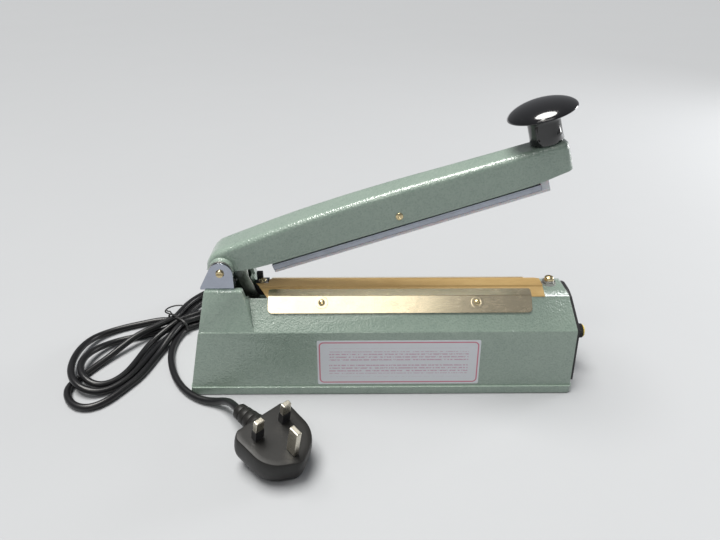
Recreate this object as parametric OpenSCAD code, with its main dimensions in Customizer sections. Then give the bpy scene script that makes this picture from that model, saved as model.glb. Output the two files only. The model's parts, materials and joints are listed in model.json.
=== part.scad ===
// Hand impulse heat sealer: a cast base with a heated bed, a hinged cast arm with a
// rocking pressure bar, a transformer and timer inside, and a mains lead tied in a hank.
// X runs along the bed to the timer end, Y runs to the back and Z is up.  The origin is
// the middle of the underside.  All sizes are in millimetres.

/* [Base casting] */
// Length of the base flange
flange_len = 300; // [290:1:320]
// Width of the base flange
flange_wid = 80; // [78:0.5:86]
// Height of the flange's edge
flange_h = 6.4; // [5:0.1:9]
// Corner radius of the flange in plan
flange_corner = 4; // [3.5:0.5:12]
// Height of the casting's lower edge over the bench
foot_gap = 0.6; // [0.3:0.1:1]
// How far the long walls stand in from the flange, at its foot
wall_step = 0.8; // [0.6:0.1:2]
// Thickness of the casting's walls
wall = 3; // [2.4:0.1:3.4]
// Height of the shoulder between the long wall and the bevel
shoulder_z = 54; // [50:0.5:56]
// Half width at the shoulder
shoulder_half = 32.2; // [31:0.1:34]
// Height of the knee where the bevel eases towards the bed
knee_z = 74.4; // [73:0.1:75]
// Half width at the knee
knee_half = 13.6; // [13:0.1:15]
// Height of the bed's flat ridge
ridge_z = 77.6; // [77:0.1:78.4]
// Half width of the flat ridge
ridge_half = 5.6; // [5.4:0.1:6.4]
// Radius of the casting's long edges
edge_r = 2; // [1:0.25:2.5]
// Height of the hinge pedestal
pedestal_z = 86.3; // [85:0.1:88]
// Half width of the pedestal's top
pedestal_half = 25; // [24.5:0.1:27]
// Length of the pedestal's top
pedestal_len = 28; // [27:0.5:30]
// Slope of the hinge end wall, X over Z
end_slope = 0.2045; // [0.18:0.005:0.22]
// Slope of the pedestal's wall towards the bed, X over Z
inner_slope = 0.2365; // [0.2:0.005:0.26]
// Distance of the timer end's wall from the end of the flange
timer_end_step = 1.8; // [1:0.1:3]
// How far the timer end leans in over the shoulder
timer_end_lean = 3.9; // [3:0.1:8]
// Radius of the round top of the timer end
timer_end_round = 5; // [4:0.5:8]
// Half width of the well between pedestal and bed
well_half = 14.4; // [13:0.1:15]
// Half width of the well in the pedestal's top
well_top_half = 20; // [18:0.1:20.5]
// Length of the well towards the bed
well_len = 27; // [26:0.5:28]

/* [Base cover] */
// Thickness of the bottom cover
cover_plate_t = 2; // [1.5:0.1:3]
// Inset of the bottom cover from the flange
cover_plate_inset = 2; // [1.5:0.1:3]
// Gap around the bottom cover in its rebate
cover_gap = 0.15; // [0.1:0.05:0.4]
// Radius of the screw posts in the base
post_r = 4.5; // [4:0.1:5]
// Distance of the screw posts from the flange's ends
post_in_x = 16; // [15:0.5:19]
// Distance of the screw posts from the flange's sides
post_in_y = 13; // [12:0.5:14]
// Radius of the bottom screws
bottom_screw_r = 1.6; // [1.25:0.05:1.8]
// Length of the bottom screws
bottom_screw_len = 12; // [8:0.5:16]

/* [Hinge] */
// Distance of the hinge axis from the hinge end of the flange
hinge_from_end = 30.5; // [30:0.1:31.5]
// Height of the hinge axis over the pedestal
hinge_rise = 13.4; // [12.5:0.1:14]
// Angle that the arm stands open at rest
open_angle = 18.2; // [14:0.1:20]
// Thickness of the hinge bracket's sheet
bracket_t = 1.5; // [1.2:0.1:1.8]
// Half width of the bracket over its ears
bracket_half = 22.3; // [22:0.1:23]
// Length of the bracket's foot
bracket_len = 25; // [24:0.1:26]
// Radius of the round top of each ear
ear_r = 8.9; // [8:0.1:9.4]
// Radius of the hinge pin
hinge_pin_r = 2.5; // [2:0.1:3]
// Wall of the hinge bushings
bushing_wall = 1.5; // [1.2:0.1:2]
// Running clearance of the hinge pin in its bushings
hinge_clear = 0.05; // [0.02:0.01:0.08]
// Radius of the hinge pin's screw heads
hinge_head_r = 3.2; // [3:0.1:4]

/* [Arm casting] */
// Length of the arm from the hinge axis to its free end
arm_len = 261; // [256:0.2:264]
// Half width of the arm
arm_half = 14.6; // [14:0.1:15.6]
// Narrowing of the arm's half width at the free end
arm_taper = 3; // [1:0.1:3.4]
// Thickness of the arm's walls
arm_wall = 2.8; // [2.4:0.1:3.2]
// Rounding of the arm's top edges
arm_edge = 4.2; // [3:0.1:5]
// Radius of the round end behind the hinge
arm_tail = 12.5; // [12:0.1:13]
// Height of the arm's top over the hinge axis, along its middle
arm_top = 17.6; // [17:0.1:18.4]
// Depth of the arm's lower edge under the hinge axis, along its middle
arm_deep = 9.4; // [8.8:0.1:9.8]
// Radius of the painted boss beside each ear
boss_r = 9.2; // [8.5:0.1:9.6]

/* [Handle] */
// Distance of the handle's axis from the arm's free end
handle_in = 12.5; // [12:0.1:14]
// Radius of the handle's cap
cap_r = 23.4; // [22:0.1:27]
// Height of the cap's rim over the arm's top
cap_rim_h = 20.9; // [18:0.1:24]
// Height of the cap's dome over its rim
cap_dome = 7.8; // [7:0.1:11]
// Radius of the handle's neck
neck_r = 11.5; // [10:0.1:12.5]
// Radius of the handle's bolt
handle_bolt_r = 3; // [2.5:0.25:3.5]

/* [Pressure bar] */
// Distance of the pressure bar's near end from the hinge axis
bar_start = 33.5; // [33:0.5:36]
// Distance of the bar's free end from the arm's free end
bar_in = 23; // [22:0.5:26]
// Half width of the bar
bar_half = 6.2; // [6:0.1:7]
// Depth of the bar under the hinge axis
bar_deep = 17.4; // [17:0.1:17.6]
// Height of the bar's channel
bar_h = 4.4; // [4:0.1:6]
// Wall of the bar's channel
bar_wall = 1.2; // [1:0.1:1.6]
// Length of the silicone past the bar's free end
silicone_past = 6; // [4:0.1:6.4]
// How far the bar's pivot is past its middle
pivot_past = 1.15; // [0:0.05:2]
// Height of the pivot over the hinge axis, with the arm down
pivot_t = -1.8; // [-2.2:0.1:-1]
// Radius of the pivot pin
pivot_r = 2; // [1.75:0.05:2.25]
// Gap left between silicone and bed when the arm is down, before the hand squeezes it
jaw_gap = 0.8; // [0.8:0.05:1]

/* [Sealing bed] */
// Distance of the bed's timer end from the timer end's wall
bed_margin = 19.2; // [18:0.1:21]
// Thickness of the insulating strip under the element
underlay_t = 0.8; // [0.6:0.1:1]
// Half width of the insulating strip
underlay_half = 5; // [4:0.1:5.2]
// Thickness of the heating element
element_t = 0.3; // [0.2:0.05:0.4]
// Half width of the heating element
element_half = 1.2; // [0.8:0.1:1.8]
// Thickness of the fluoropolymer cloth over the element
cloth_t = 0.4; // [0.3:0.05:0.5]
// How far the cloth hangs down the bevel
cloth_drop = 9; // [8.8:0.1:15]
// How far the cloth's corner reaches over the well
cloth_tongue = 9.5; // [4:0.5:10]

/* [Clamp plates] */
// Distance of the plates from the bed's hinge end
plate_start = 1.2; // [0.5:0.1:2]
// Distance of the plates from the bed's timer end
plate_end = 10.6; // [8:0.1:14]
// Thickness of the clamp plates
plate_t = 1; // [0.8:0.1:1.2]
// Height of the plates under their bend
plate_main = 13.2; // [12:0.1:17]
// Height of the lip over the bend
plate_lip = 6.2; // [5:0.1:7]
// Radius of the plates' lower corners
plate_corner = 3.5; // [1:0.1:5]
// Distance of the screws under the bend
plate_screw_drop = 5.1; // [4.5:0.1:8.5]
// Distance of the first screw from the plates' end
plate_screw_start = 41; // [36:0.5:44]
// Distance between the screws
plate_screw_span = 118.8; // [110:0.2:124]
// Radius of the plate screws
plate_screw_r = 1.5; // [1.25:0.05:1.75]

/* [Timer end] */
// Thickness of the end panel
panel_t = 2.5; // [1.5:0.1:3]
// Inset of the end panel from the casting's edges
panel_inset = 2; // [1.5:0.1:6]
// Height of the panel's lower edge
panel_low = 10.5; // [10.5:0.5:14]
// Height of the panel's upper edge
panel_high = 76; // [70:0.5:76]
// Height of the timer knob
timer_z = 32; // [30:0.5:34]
// Radius of the timer knob
timer_knob_r = 5.9; // [5:0.1:9]
// Length of the timer knob
timer_knob_len = 12.3; // [11:0.1:18]
// Radius of the timer's shaft
timer_shaft_r = 3; // [2.5:0.1:3]
// Running clearance of the timer's shaft
shaft_clear = 0.05; // [0.02:0.01:0.08]
// Radius of the indicator lamp's lens
lamp_r = 4; // [3:0.1:4.5]
// Height of the indicator lamp over the shoulder
lamp_rise = 11; // [10:0.1:12]

/* [Transformer] */
// Length of the transformer's core
core_x = 57; // [54:0.5:60]
// Width of the transformer's core
core_y = 47.5; // [45:0.5:48]
// Thickness of the core's stack
core_z = 30; // [26:0.5:32]
// Height of the core's underside
core_floor = 22; // [20:0.5:24]
// Place of the transformer along the base
core_at = -20; // [-30:1:-10]

/* [Switch and spring] */
// Half thickness of the lever under the arm
lever_half_t = 0.8; // [0.6:0.1:1]
// Place of the lever across the base
lever_y = -4.8; // [-5:0.1:-4.7]
// Depth of the lever under the hinge axis
lever_deep = 37; // [34:0.5:38]
// Height of the microswitch
switch_h = 20; // [18:0.5:22]
// Radius of the return spring
spring_r = 2.7; // [2.4:0.1:2.8]
// Radius of the return spring's wire
spring_wire_r = 0.5; // [0.4:0.05:0.6]
// Coils of the return spring
spring_turns = 9; // [8:1:10]

/* [Mains lead] */
// Diameter of the mains lead
cord_d = 5.6; // [5:0.1:5.7]
// Radius of the gland's flange
gland_r = 7.5; // [6.5:0.1:8]
// Length of the gland's strain relief
gland_len = 27; // [26:0.5:28]

/* [Hidden] */
$fn = 48;

// a tiny overlap for cuts that run past a face
eps = 0.01;
// clearance of a screw in the hole of what it holds
screw_clear = 0.05;
// clearance between a moving piece and a fixed one beside it
side_clear = 0.3;

// base casting
base_floor = cover_plate_t;
post_span_x = flange_len - 2 * post_in_x;
post_span_y = flange_wid - 2 * post_in_y;
foot_half = flange_wid / 2 - wall_step;
end_x = -flange_len / 2;
right_x = flange_len / 2 - timer_end_step;
pedestal_left = end_x + end_slope * (pedestal_z - base_floor);
pedestal_right = pedestal_left + pedestal_len;
pedestal_foot = pedestal_right + inner_slope * pedestal_z;
pedestal_in = 0.3;
bed_top = ridge_z + underlay_t + element_t;
cloth_top = bed_top + cloth_t + 0.1;
post_h = shoulder_z - base_floor - 14;

// hinge and arm
hinge_x = end_x + hinge_from_end;
hinge_z = pedestal_z + hinge_rise;
bush_r = hinge_pin_r + hinge_clear + bushing_wall;
ear_in = bracket_half - bracket_t;
boss_face = ear_in - side_clear;
bracket_left = pedestal_left - 2.7;
bracket_right = bracket_left + bracket_len;
bracket_top = pedestal_z + bracket_t;
bush_in = arm_half - 4;
handle_s = arm_len - handle_in;
well_under_bracket = 5.2;
well_left = bracket_right - well_under_bracket;
well_right = well_left + well_len;

// bed
bed_left = well_right + 0.3;
bed_len = right_x - timer_end_lean - bed_margin - bed_left;
bed_right = bed_left + bed_len;
knee_run = norm([knee_half - ridge_half, ridge_z - knee_z]);
lip_angle = atan2(ridge_z - knee_z, knee_half - ridge_half);
bevel_angle = atan2(knee_z - shoulder_z, shoulder_half - knee_half);
cloth_gap = 0.05;
plate_seat = cloth_gap + cloth_t + 0.05;
fold_y = plate_seat * tan((bevel_angle - lip_angle) / 2);
plate_x = bed_left + plate_start;
plate_len = bed_len - plate_start - plate_end;

// pressure bar
silicone_low = hinge_z - (cloth_top + jaw_gap);
bar_len = arm_len - bar_start - bar_in;
pivot_s = bar_start + bar_len / 2 + pivot_past;

// timer end
lean_slope = timer_end_lean / (ridge_z - timer_end_round - shoulder_z);
lean_angle = atan(lean_slope);
panel_x = right_x + panel_t;
nut_t = 2.4;
knob_x = panel_x + nut_t + 0.6;
pot_len = 12;
board_t = 1.6;
board_x = right_x - wall - pot_len - board_t;

// plug
plug_at = [-69.3, -111.8, 24.8];
plug_turn = -44.5;
plug_tilt = 13.3;
pin_pitch = 22.2;
boot_start = [-85.3, -96, 19];
boot_end = [-105, -76.6, 18.6];

// the lead's route: its points are chosen by hand, and rest on the bench or on each other
cord_z = 3;
gland_at = [-100, 65, 22];
tail_route = [
    gland_at, [-101, 77, 20], [-108, 87, 17], [-119, 91.5, 14], [-131, 87, 12], [-137, 81.5, 10]
];
loop_a_route = [
    [-184, 56, 3.8], [-192, 60, 3], [-202, 62, 3], [-216, 56, 3], [-231, 50, 3], [-245, 41, 3.5],
    [-254, 30, 5], [-257, 14, 7.5], [-256, -4, 9], [-252, -20, 9], [-244, -33, 9],
    [-233, -41, 7], [-221, -41, 4], [-211, -33, 3], [-204, -21, 3], [-200, -8, 3],
    [-197, 6, 3], [-193, 22, 3], [-187, 38, 3], [-181.5, 48.5, 3.8]
];
loop_b_route = [
    [-185.4, 53.8, 3.8], [-189, 50, 3.2], [-197, 44, 3], [-208, 37.5, 3], [-223, 32, 3], [-236, 24, 4],
    [-245, 11, 6.5], [-248, -4, 9], [-245, -18, 9], [-237, -29, 8], [-226, -34, 5],
    [-216, -28.5, 3], [-209, -17, 3], [-206, -3, 3], [-204, 12, 3], [-200, 28, 4],
    [-192, 41, 6.8], [-183, 52, 9.5]
];
loop_c_route = [
    [-187.8, 55.6, 9.2], [-192, 49, 9.3], [-200, 41, 9.2], [-211, 32, 9], [-221, 19, 7], [-230, 5, 4],
    [-238, -9, 3], [-244, -21, 3], [-249, -32, 3], [-246, -43, 3], [-238, -53, 3],
    [-226, -58, 3], [-215, -53, 3], [-208, -43, 3], [-202, -32, 3], [-196, -20, 3],
    [-193, -6, 3], [-190, 9, 3], [-187, 22, 5.5], [-183, 34, 8.7], [-177, 48.4, 9.5]
];
lead_route = [
    [-173, 50, 3.8], [-178, 38, 3], [-181, 25, 3], [-180, 11, 3], [-176, -3, 3], [-170, -17, 3],
    [-162, -30, 3], [-152, -41, 3], [-140, -49, 3], [-128, -52.5, 4.5], [-119, -57, 9],
    [-112, -65, 14], boot_end
];
tie_at = [-183, 52];
tie_turn = 53;
hank_low = 0.9;
hank_h = 11.4;
hank_far = [-157, 96];
hank_far_r = 27;
hank_neck_r = 12;

// ---- shared shapes -------------------------------------------------------------

// a solid along X from a flat outline in Y and Z
module along_x(x0, x1) translate([x0, 0, 0]) rotate([90, 0, 90]) linear_extrude(x1 - x0) children();

// a solid along Y from a flat outline in X and Z
module along_y(y0, y1) translate([0, y1, 0]) rotate([90, 0, 0]) linear_extrude(y1 - y0) children();

// a round bar along Y
module bar_y(r, y0, y1) translate([0, y0, 0]) rotate([-90, 0, 0]) cylinder(r = r, h = y1 - y0);

// a round bar along X
module bar_x(r, x0, x1) translate([x0, 0, 0]) rotate([0, 90, 0]) cylinder(r = r, h = x1 - x0);

// a rectangle with round corners, centred
module plan(x, y, r) offset(r = r) square([x - 2 * r, y - 2 * r], center = true);

// points on a circle's arc
function arc(cx, cy, r, a0, a1, n) =
    [for (i = [0:n]) [cx + r * cos(a0 + (a1 - a0) * i / n), cy + r * sin(a0 + (a1 - a0) * i / n)]];

// the value at x on a line through the points of a list
function along(x, pts, i = 0) =
    x <= pts[i][0] || i >= len(pts) - 1 ? pts[i][1]
    : x <= pts[i + 1][0]
        ? pts[i][1] + (pts[i + 1][1] - pts[i][1]) * (x - pts[i][0]) / (pts[i + 1][0] - pts[i][0])
        : along(x, pts, i + 1);

// a smooth curve through the points of a route, with steps pieces between them
function curve_point(p0, p1, p2, p3, t) =
    0.5 * (2 * p1 + (p2 - p0) * t + (2 * p0 - 5 * p1 + 4 * p2 - p3) * t * t
        + (3 * p1 - p0 - 3 * p2 + p3) * t * t * t);
function smooth_route(p, steps) = concat(
    [for (i = [0:len(p) - 2], k = [0:steps - 1])
        curve_point(i == 0 ? 2 * p[0] - p[1] : p[i - 1], p[i], p[i + 1],
            i == len(p) - 2 ? 2 * p[i + 1] - p[i] : p[i + 2], k / steps)],
    [p[len(p) - 1]]);

// a tube of round rings that follows a route
module tube(route, r, sides) {
    n = len(route);
    function way(i) = let (v = route[min(i + 1, n - 1)] - route[max(i - 1, 0)]) v / norm(v);
    function side(i) = let (v = cross(way(i), [0, 0, 1])) v / norm(v);
    function lift(i) = cross(side(i), way(i));
    rings = [for (i = [0:n - 1], k = [0:sides - 1])
        route[i] + r * (cos(360 * k / sides) * side(i) + sin(360 * k / sides) * lift(i))];
    polyhedron(rings, concat(
        [[for (k = [0:sides - 1]) k]],
        [for (i = [0:n - 2], k = [0:sides - 1])
            [i * sides + k, (i + 1) * sides + k, (i + 1) * sides + (k + 1) % sides, i * sides + (k + 1) % sides]],
        [[for (k = [sides - 1:-1:0]) (n - 1) * sides + k]]));
}

// a pan head screw along -Z, its head on top of z = 0
module pan_screw(r, head_r, head_h, shank) {
    difference() {
        union() {
            cylinder(r = head_r, h = head_h * 0.55);
            intersection() {
                translate([0, 0, head_h * 0.55]) cylinder(r = head_r, h = head_h * 0.45);
                translate([0, 0, head_h - head_r * 2.2]) sphere(r = head_r * 2.2);
            }
        }
        for (a = [0, 90]) rotate([0, 0, a])
            translate([-head_r * 0.6, -head_r * 0.12, head_h * 0.6]) cube([head_r * 1.2, head_r * 0.24, head_h]);
    }
    translate([0, 0, -shank]) cylinder(r = r, h = shank + eps);
}

// ---- base ----------------------------------------------------------------------

// the bed's outline in Y and Z
module bed_section() {
    offset(r = edge_r) offset(delta = -edge_r)
        polygon([
            [-foot_half, base_floor], [foot_half, base_floor], [shoulder_half, shoulder_z],
            [knee_half, knee_z], [ridge_half, ridge_z], [-ridge_half, ridge_z],
            [-knee_half, knee_z], [-shoulder_half, shoulder_z]
        ]);
}

// the pedestal's outline in Y and Z
module pedestal_section() {
    offset(r = edge_r) offset(delta = -edge_r)
        polygon([
            [-shoulder_half + pedestal_in, shoulder_z - 20], [shoulder_half - pedestal_in, shoulder_z - 20],
            [shoulder_half - pedestal_in, shoulder_z], [pedestal_half, pedestal_z],
            [-pedestal_half, pedestal_z], [-shoulder_half + pedestal_in, shoulder_z]
        ]);
}

// the bed's outline in X and Z, with the whole body up to the shoulder
module bed_side() {
    offset(r = edge_r) offset(delta = -edge_r)
        polygon(concat(
            [[end_x, base_floor], [right_x, base_floor], [right_x, shoulder_z]],
            arc(right_x - timer_end_lean - timer_end_round, ridge_z - timer_end_round, timer_end_round, 0, 90, 6),
            [[pedestal_right - wall, ridge_z], [pedestal_right - wall, shoulder_z],
            [end_x + end_slope * (shoulder_z - base_floor), shoulder_z]]));
}

// the pedestal's outline in X and Z
module pedestal_side() {
    offset(r = edge_r) offset(delta = -edge_r)
        polygon([
            [end_x + end_slope * (shoulder_z - base_floor) + pedestal_in, shoulder_z - 20],
            [end_x + end_slope * (shoulder_z - base_floor) + pedestal_in, shoulder_z],
            [pedestal_left + pedestal_in, pedestal_z], [pedestal_right, pedestal_z],
            [pedestal_right + inner_slope * (pedestal_z - shoulder_z), shoulder_z],
            [pedestal_right + inner_slope * (pedestal_z - shoulder_z), shoulder_z - 20]
        ]);
}

module base_outside() {
    intersection() {
        along_x(end_x - 1, right_x + 1) bed_section();
        along_y(-foot_half, foot_half) bed_side();
    }
    intersection() {
        along_x(end_x - 1, pedestal_foot) pedestal_section();
        along_y(-foot_half, foot_half) pedestal_side();
    }
    translate([0, 0, foot_gap]) linear_extrude(flange_h) plan(flange_len, flange_wid, flange_corner);
}

module base_inside() {
    intersection() {
        along_x(end_x - 1, right_x + 1) offset(delta = -wall) bed_section();
        along_y(-foot_half, foot_half) offset(delta = -wall) bed_side();
    }
    intersection() {
        along_x(end_x - 1, pedestal_foot) offset(delta = -wall) pedestal_section();
        along_y(-foot_half, foot_half) offset(delta = -wall) pedestal_side();
    }
    // the open foot
    translate([0, 0, base_floor - eps]) linear_extrude(wall + 2 * eps)
        plan(flange_len - 2 * wall - 4, 2 * (foot_half - wall), flange_corner - wall);
    // the rebate that the cover lies in
    translate([0, 0, foot_gap - eps]) linear_extrude(base_floor - foot_gap + eps) offset(delta = cover_gap) cover_plan();
}

// the bottom cover in plan
module cover_plan() plan(flange_len - 2 * cover_plate_inset, flange_wid - 2 * cover_plate_inset,
    flange_corner - cover_plate_inset);

// the well between pedestal and bed, which the lever drops into
module well() {
    translate([well_left, -well_half, shoulder_z + 6])
        cube([well_len, 2 * well_half, pedestal_z - shoulder_z]);
    translate([well_left, -well_top_half, ridge_z - 2])
        cube([pedestal_right + 4 - well_left, 2 * well_top_half, pedestal_z]);
}

module at_posts() for (i = [-1, 1], j = [-1, 1])
    translate([i * post_span_x / 2, j * post_span_y / 2, base_floor]) children();

// the transformer's four pillars hang from the roof of the casting
pillar_x = core_x * 0.417;
pillar_y = core_y * 0.4;
pillar_r = 4;
core_top = core_floor + core_z;
module at_pillars() for (i = [-1, 1], j = [-1, 1])
    translate([core_at + i * pillar_x, j * pillar_y, core_top]) children();

// a frame on the bevel: its X runs along the base, its -Y runs down the bevel from the
// knee and its Z stands off the face; side is -1 for the front and 1 for the back
module on_bevel(side) {
    if (side < 0)
        translate([0, -knee_half, knee_z]) rotate([bevel_angle, 0, 0]) children();
    else
        mirror([0, 1, 0]) translate([0, -knee_half, knee_z]) rotate([bevel_angle, 0, 0]) children();
}
module at_plate_screws(side) for (k = [0, 1]) on_bevel(side)
    translate([plate_x + plate_screw_start + k * plate_screw_span, -plate_screw_drop, 0]) children();

bracket_screw_x = hinge_x - 2.5;
bracket_screw_y = 15.5;
bracket_screw_r = 2;
hook_s = 7.8;
hook_r = 1.5;
spring_x = hinge_x - hook_s * cos(open_angle);
spring_y = 7;
spring_hole_r = spring_r + spring_wire_r + 0.8;
module at_bracket_screws() for (j = [-1, 1])
    translate([bracket_screw_x, j * bracket_screw_y, bracket_top]) children();

terminal_x = [bed_left - 5, bed_right + 6.2];
terminal_y = [3, 0];
terminal_screw_r = 2;
bush_wall = 2;
ledge_top = ridge_z - 8.6;
gland_z = 22;
gland_wall_y = foot_half - (foot_half - shoulder_half) * (gland_z - base_floor) / (shoulder_z - base_floor);
panel_screw_y = 21;
panel_screw_z = [15, 46];
panel_screw_r = 1.5;
lamp_at = [right_x - lean_slope * lamp_rise, 0, shoulder_z + lamp_rise];
lamp_body_r = 3.2;
pot_bush_r = 4.5;

module base_casting() color([0.56, 0.64, 0.6]) difference() {
    union() {
        difference() {
            base_outside();
            base_inside();
            well();
        }
        intersection() {
            union() {
                at_posts() cylinder(r = post_r, h = post_h);
                at_pillars() cylinder(r = pillar_r, h = 40);
                // ledge in the well for the hinge end's terminal
                translate([terminal_x[0] - 5.8, lever_y + 1.8, shoulder_z + 9])
                    cube([bed_left + wall - terminal_x[0] + 5.8, 30, ledge_top - shoulder_z - 9]);
            }
            base_outside();
        }
    }
    at_posts() translate([0, 0, -eps]) cylinder(r = bottom_screw_r + screw_clear, h = bottom_screw_len + 2);
    at_pillars() translate([0, 0, -eps]) cylinder(r = 1.5 + screw_clear, h = 10);
    for (side = [-1, 1]) at_plate_screws(side)
        translate([0, 0, -2 * wall]) cylinder(r = plate_screw_r + screw_clear, h = 3 * wall);
    at_bracket_screws() translate([0, 0, -3 * wall]) cylinder(r = bracket_screw_r + screw_clear, h = 4 * wall);
    translate([spring_x, spring_y, pedestal_z - 4 * wall]) cylinder(r = spring_hole_r, h = 5 * wall);
    // the timer end's holes
    translate([right_x - 2 * wall, 0, timer_z]) bar_x(pot_bush_r + screw_clear, 0, 3 * wall);
    translate(lamp_at) rotate([0, 90 - lean_angle, 0])
        translate([0, 0, -2 * wall]) cylinder(r = lamp_body_r + screw_clear, h = 3 * wall);
    for (j = [-1, 1], z = panel_screw_z)
        translate([right_x - 2 * wall, j * panel_screw_y, z]) bar_x(panel_screw_r + screw_clear, 0, 3 * wall);
    // terminals and gland
    translate([terminal_x[1], 0, ridge_z - 3 * wall])
        cylinder(r = terminal_screw_r + bush_wall + 2 * screw_clear, h = 4 * wall);
    translate([terminal_x[0], terminal_y[0], ledge_top - 3 * wall])
        cylinder(r = terminal_screw_r + screw_clear, h = 4 * wall);
    translate([gland_at[0], gland_wall_y - 2 * wall, gland_z]) bar_y(gland_r - 2, 0, 4 * wall);
    // holes for the spring's anchor across the pedestal
    translate([spring_x, 0, anchor_z]) bar_y(anchor_r + screw_clear, 0, foot_half);
}

module bottom_cover() color([0.09, 0.09, 0.1]) difference() {
    linear_extrude(cover_plate_t) cover_plan();
    at_posts() translate([0, 0, -2 * cover_plate_t])
        cylinder(r = bottom_screw_r + 0.2, h = 3 * cover_plate_t);
    at_posts() translate([0, 0, -cover_plate_t - 0.1])
        cylinder(r1 = bottom_screw_r * 2 + 0.2, r2 = bottom_screw_r - 0.3, h = cover_plate_t);
}

module bottom_screws() color([0.7, 0.7, 0.72]) at_posts() {
    translate([0, 0, -cover_plate_t * 0.9]) cylinder(r = bottom_screw_r, h = bottom_screw_len + cover_plate_t * 0.9);
    translate([0, 0, -cover_plate_t * 0.95])
        cylinder(r1 = bottom_screw_r * 2 - 0.2, r2 = bottom_screw_r, h = cover_plate_t * 0.7);
}

// ---- timer end -----------------------------------------------------------------

panel_back = right_x - timer_end_lean - 3;
module end_panel() color([0.08, 0.08, 0.09]) difference() {
    intersection() {
        along_y(-foot_half, foot_half) intersection() {
            difference() {
                offset(delta = panel_t) bed_side();
                bed_side();
            }
            translate([panel_back, panel_low]) square([panel_x + 1 - panel_back, panel_high - panel_low]);
        }
        along_x(panel_back, panel_x + 1) offset(r = 2) offset(delta = -panel_inset - 2) bed_section();
    }
    translate([right_x - 1, 0, timer_z]) bar_x(pot_bush_r + screw_clear, 0, 2 * panel_t);
    translate(lamp_at) rotate([0, 90 - lean_angle, 0])
        translate([0, 0, -1]) cylinder(r = lamp_body_r + screw_clear, h = 2 * panel_t);
    for (j = [-1, 1], z = panel_screw_z)
        translate([right_x - 1, j * panel_screw_y, z]) bar_x(panel_screw_r + screw_clear, 0, 2 * panel_t);
}

module panel_screws() color([0.75, 0.75, 0.77]) for (j = [-1, 1], z = panel_screw_z)
    translate([panel_x, j * panel_screw_y, z]) rotate([0, 90, 0]) pan_screw(panel_screw_r, 2.8, 1.8, panel_t + wall + 2);

bezel_h = 0.6;
lens_h = 0.9;
lens_ball = (lamp_r * lamp_r + lens_h * lens_h) / (2 * lens_h);
module indicator_lamp() color([0.8, 0.12, 0.1]) translate(lamp_at) rotate([0, 90 - lean_angle, 0]) {
    translate([0, 0, -12]) cylinder(r = lamp_body_r, h = 12 + panel_t + bezel_h + 0.1);
    translate([0, 0, panel_t + bezel_h + 0.04]) intersection() {
        cylinder(r = lamp_r, h = 4);
        translate([0, 0, lens_h - lens_ball]) sphere(r = lens_ball, $fn = 96);
    }
}

module lamp_bezel() color([0.75, 0.75, 0.77]) translate(lamp_at) rotate([0, 90 - lean_angle, 0])
    translate([0, 0, panel_t + 0.02]) difference() {
        cylinder(r1 = lamp_r + 1.4, r2 = lamp_r + 0.9, h = bezel_h);
        translate([0, 0, -1]) cylinder(r = lamp_body_r + screw_clear, h = 4);
    }

board_y = post_span_y - 2 * post_r - 1;
board_low = 12;
board_h = 38;
module timer_board() color([0.1, 0.35, 0.2]) difference() {
    translate([board_x, -board_y / 2, board_low]) cube([board_t, board_y, board_h]);
    for (j = [-1, 1])
        translate([board_x - 1, j * (board_y / 2 - 3), board_low + 3]) bar_x(1.5, 0, board_t + 2);
}

module board_parts() {
    // relay, capacitor, two smaller capacitors and a row of terminals
    color([0.15, 0.35, 0.65]) translate([board_x - 16, -18, board_low + 5]) cube([16, 12.6, 19]);
    color([0.12, 0.12, 0.14]) translate([board_x - 15, 8, board_low + 12]) bar_x(6.3, 0, 15);
    color([0.12, 0.12, 0.14]) for (k = [0, 1])
        translate([board_x - 10, 3 + 10 * k, board_low + 27]) bar_x(3.2, 0, 10);
    color([0.2, 0.5, 0.3]) translate([board_x - 9, -17, board_low + 27]) cube([9, 15, 8]);
}

module timer_pot() color([0.55, 0.56, 0.58]) difference() {
    union() {
        translate([board_x + board_t, 0, timer_z]) bar_x(8.2, 0, pot_len);
        translate([right_x - wall - 1, 0, timer_z]) bar_x(pot_bush_r, 0, wall + 1 + panel_t + nut_t);
    }
    translate([board_x + board_t + 2, 0, timer_z]) bar_x(timer_shaft_r + shaft_clear, 0, pot_len + 20);
}

module pot_nut() color([0.78, 0.76, 0.7]) translate([panel_x, 0, timer_z]) rotate([0, 90, 0]) difference() {
    cylinder(r = 6, h = nut_t - 0.3, $fn = 6);
    translate([0, 0, -1]) cylinder(r = pot_bush_r + screw_clear, h = 5);
}

module pot_shaft() color([0.78, 0.78, 0.8])
    translate([board_x + board_t + 2.4, 0, timer_z]) bar_x(timer_shaft_r, 0, knob_x + 9 - board_x - board_t - 2.4);

flutes = 24;
flute_depth = 0.7;
module timer_knob() color([0.05, 0.05, 0.06]) translate([knob_x, 0, timer_z]) rotate([0, 90, 0]) difference() {
    union() {
        cylinder(r = timer_knob_r - 0.25, h = 1.5);
        translate([0, 0, 1]) linear_extrude(timer_knob_len - 1) polygon([for (k = [0:6 * flutes - 1])
            (timer_knob_r - flute_depth * (0.5 - 0.5 * cos(60 * k)))
                * [cos(60 * k / flutes), sin(60 * k / flutes)]]);
    }
    translate([0, 0, -1]) cylinder(r = timer_shaft_r + 0.02, h = 10.02);
    translate([0, 0, -1]) cylinder(r = timer_knob_r - 1.4, h = 2.4);
}

module knob_cap() color([0.86, 0.8, 0.12]) translate([knob_x + timer_knob_len, 0, timer_z]) rotate([0, 90, 0]) {
    cylinder(r = timer_knob_r - 0.8, h = 1);
    translate([-0.6, 0, 1 - eps]) cube([1.2, timer_knob_r - 1.6, 0.4]);
}

// ---- transformer ---------------------------------------------------------------

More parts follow.
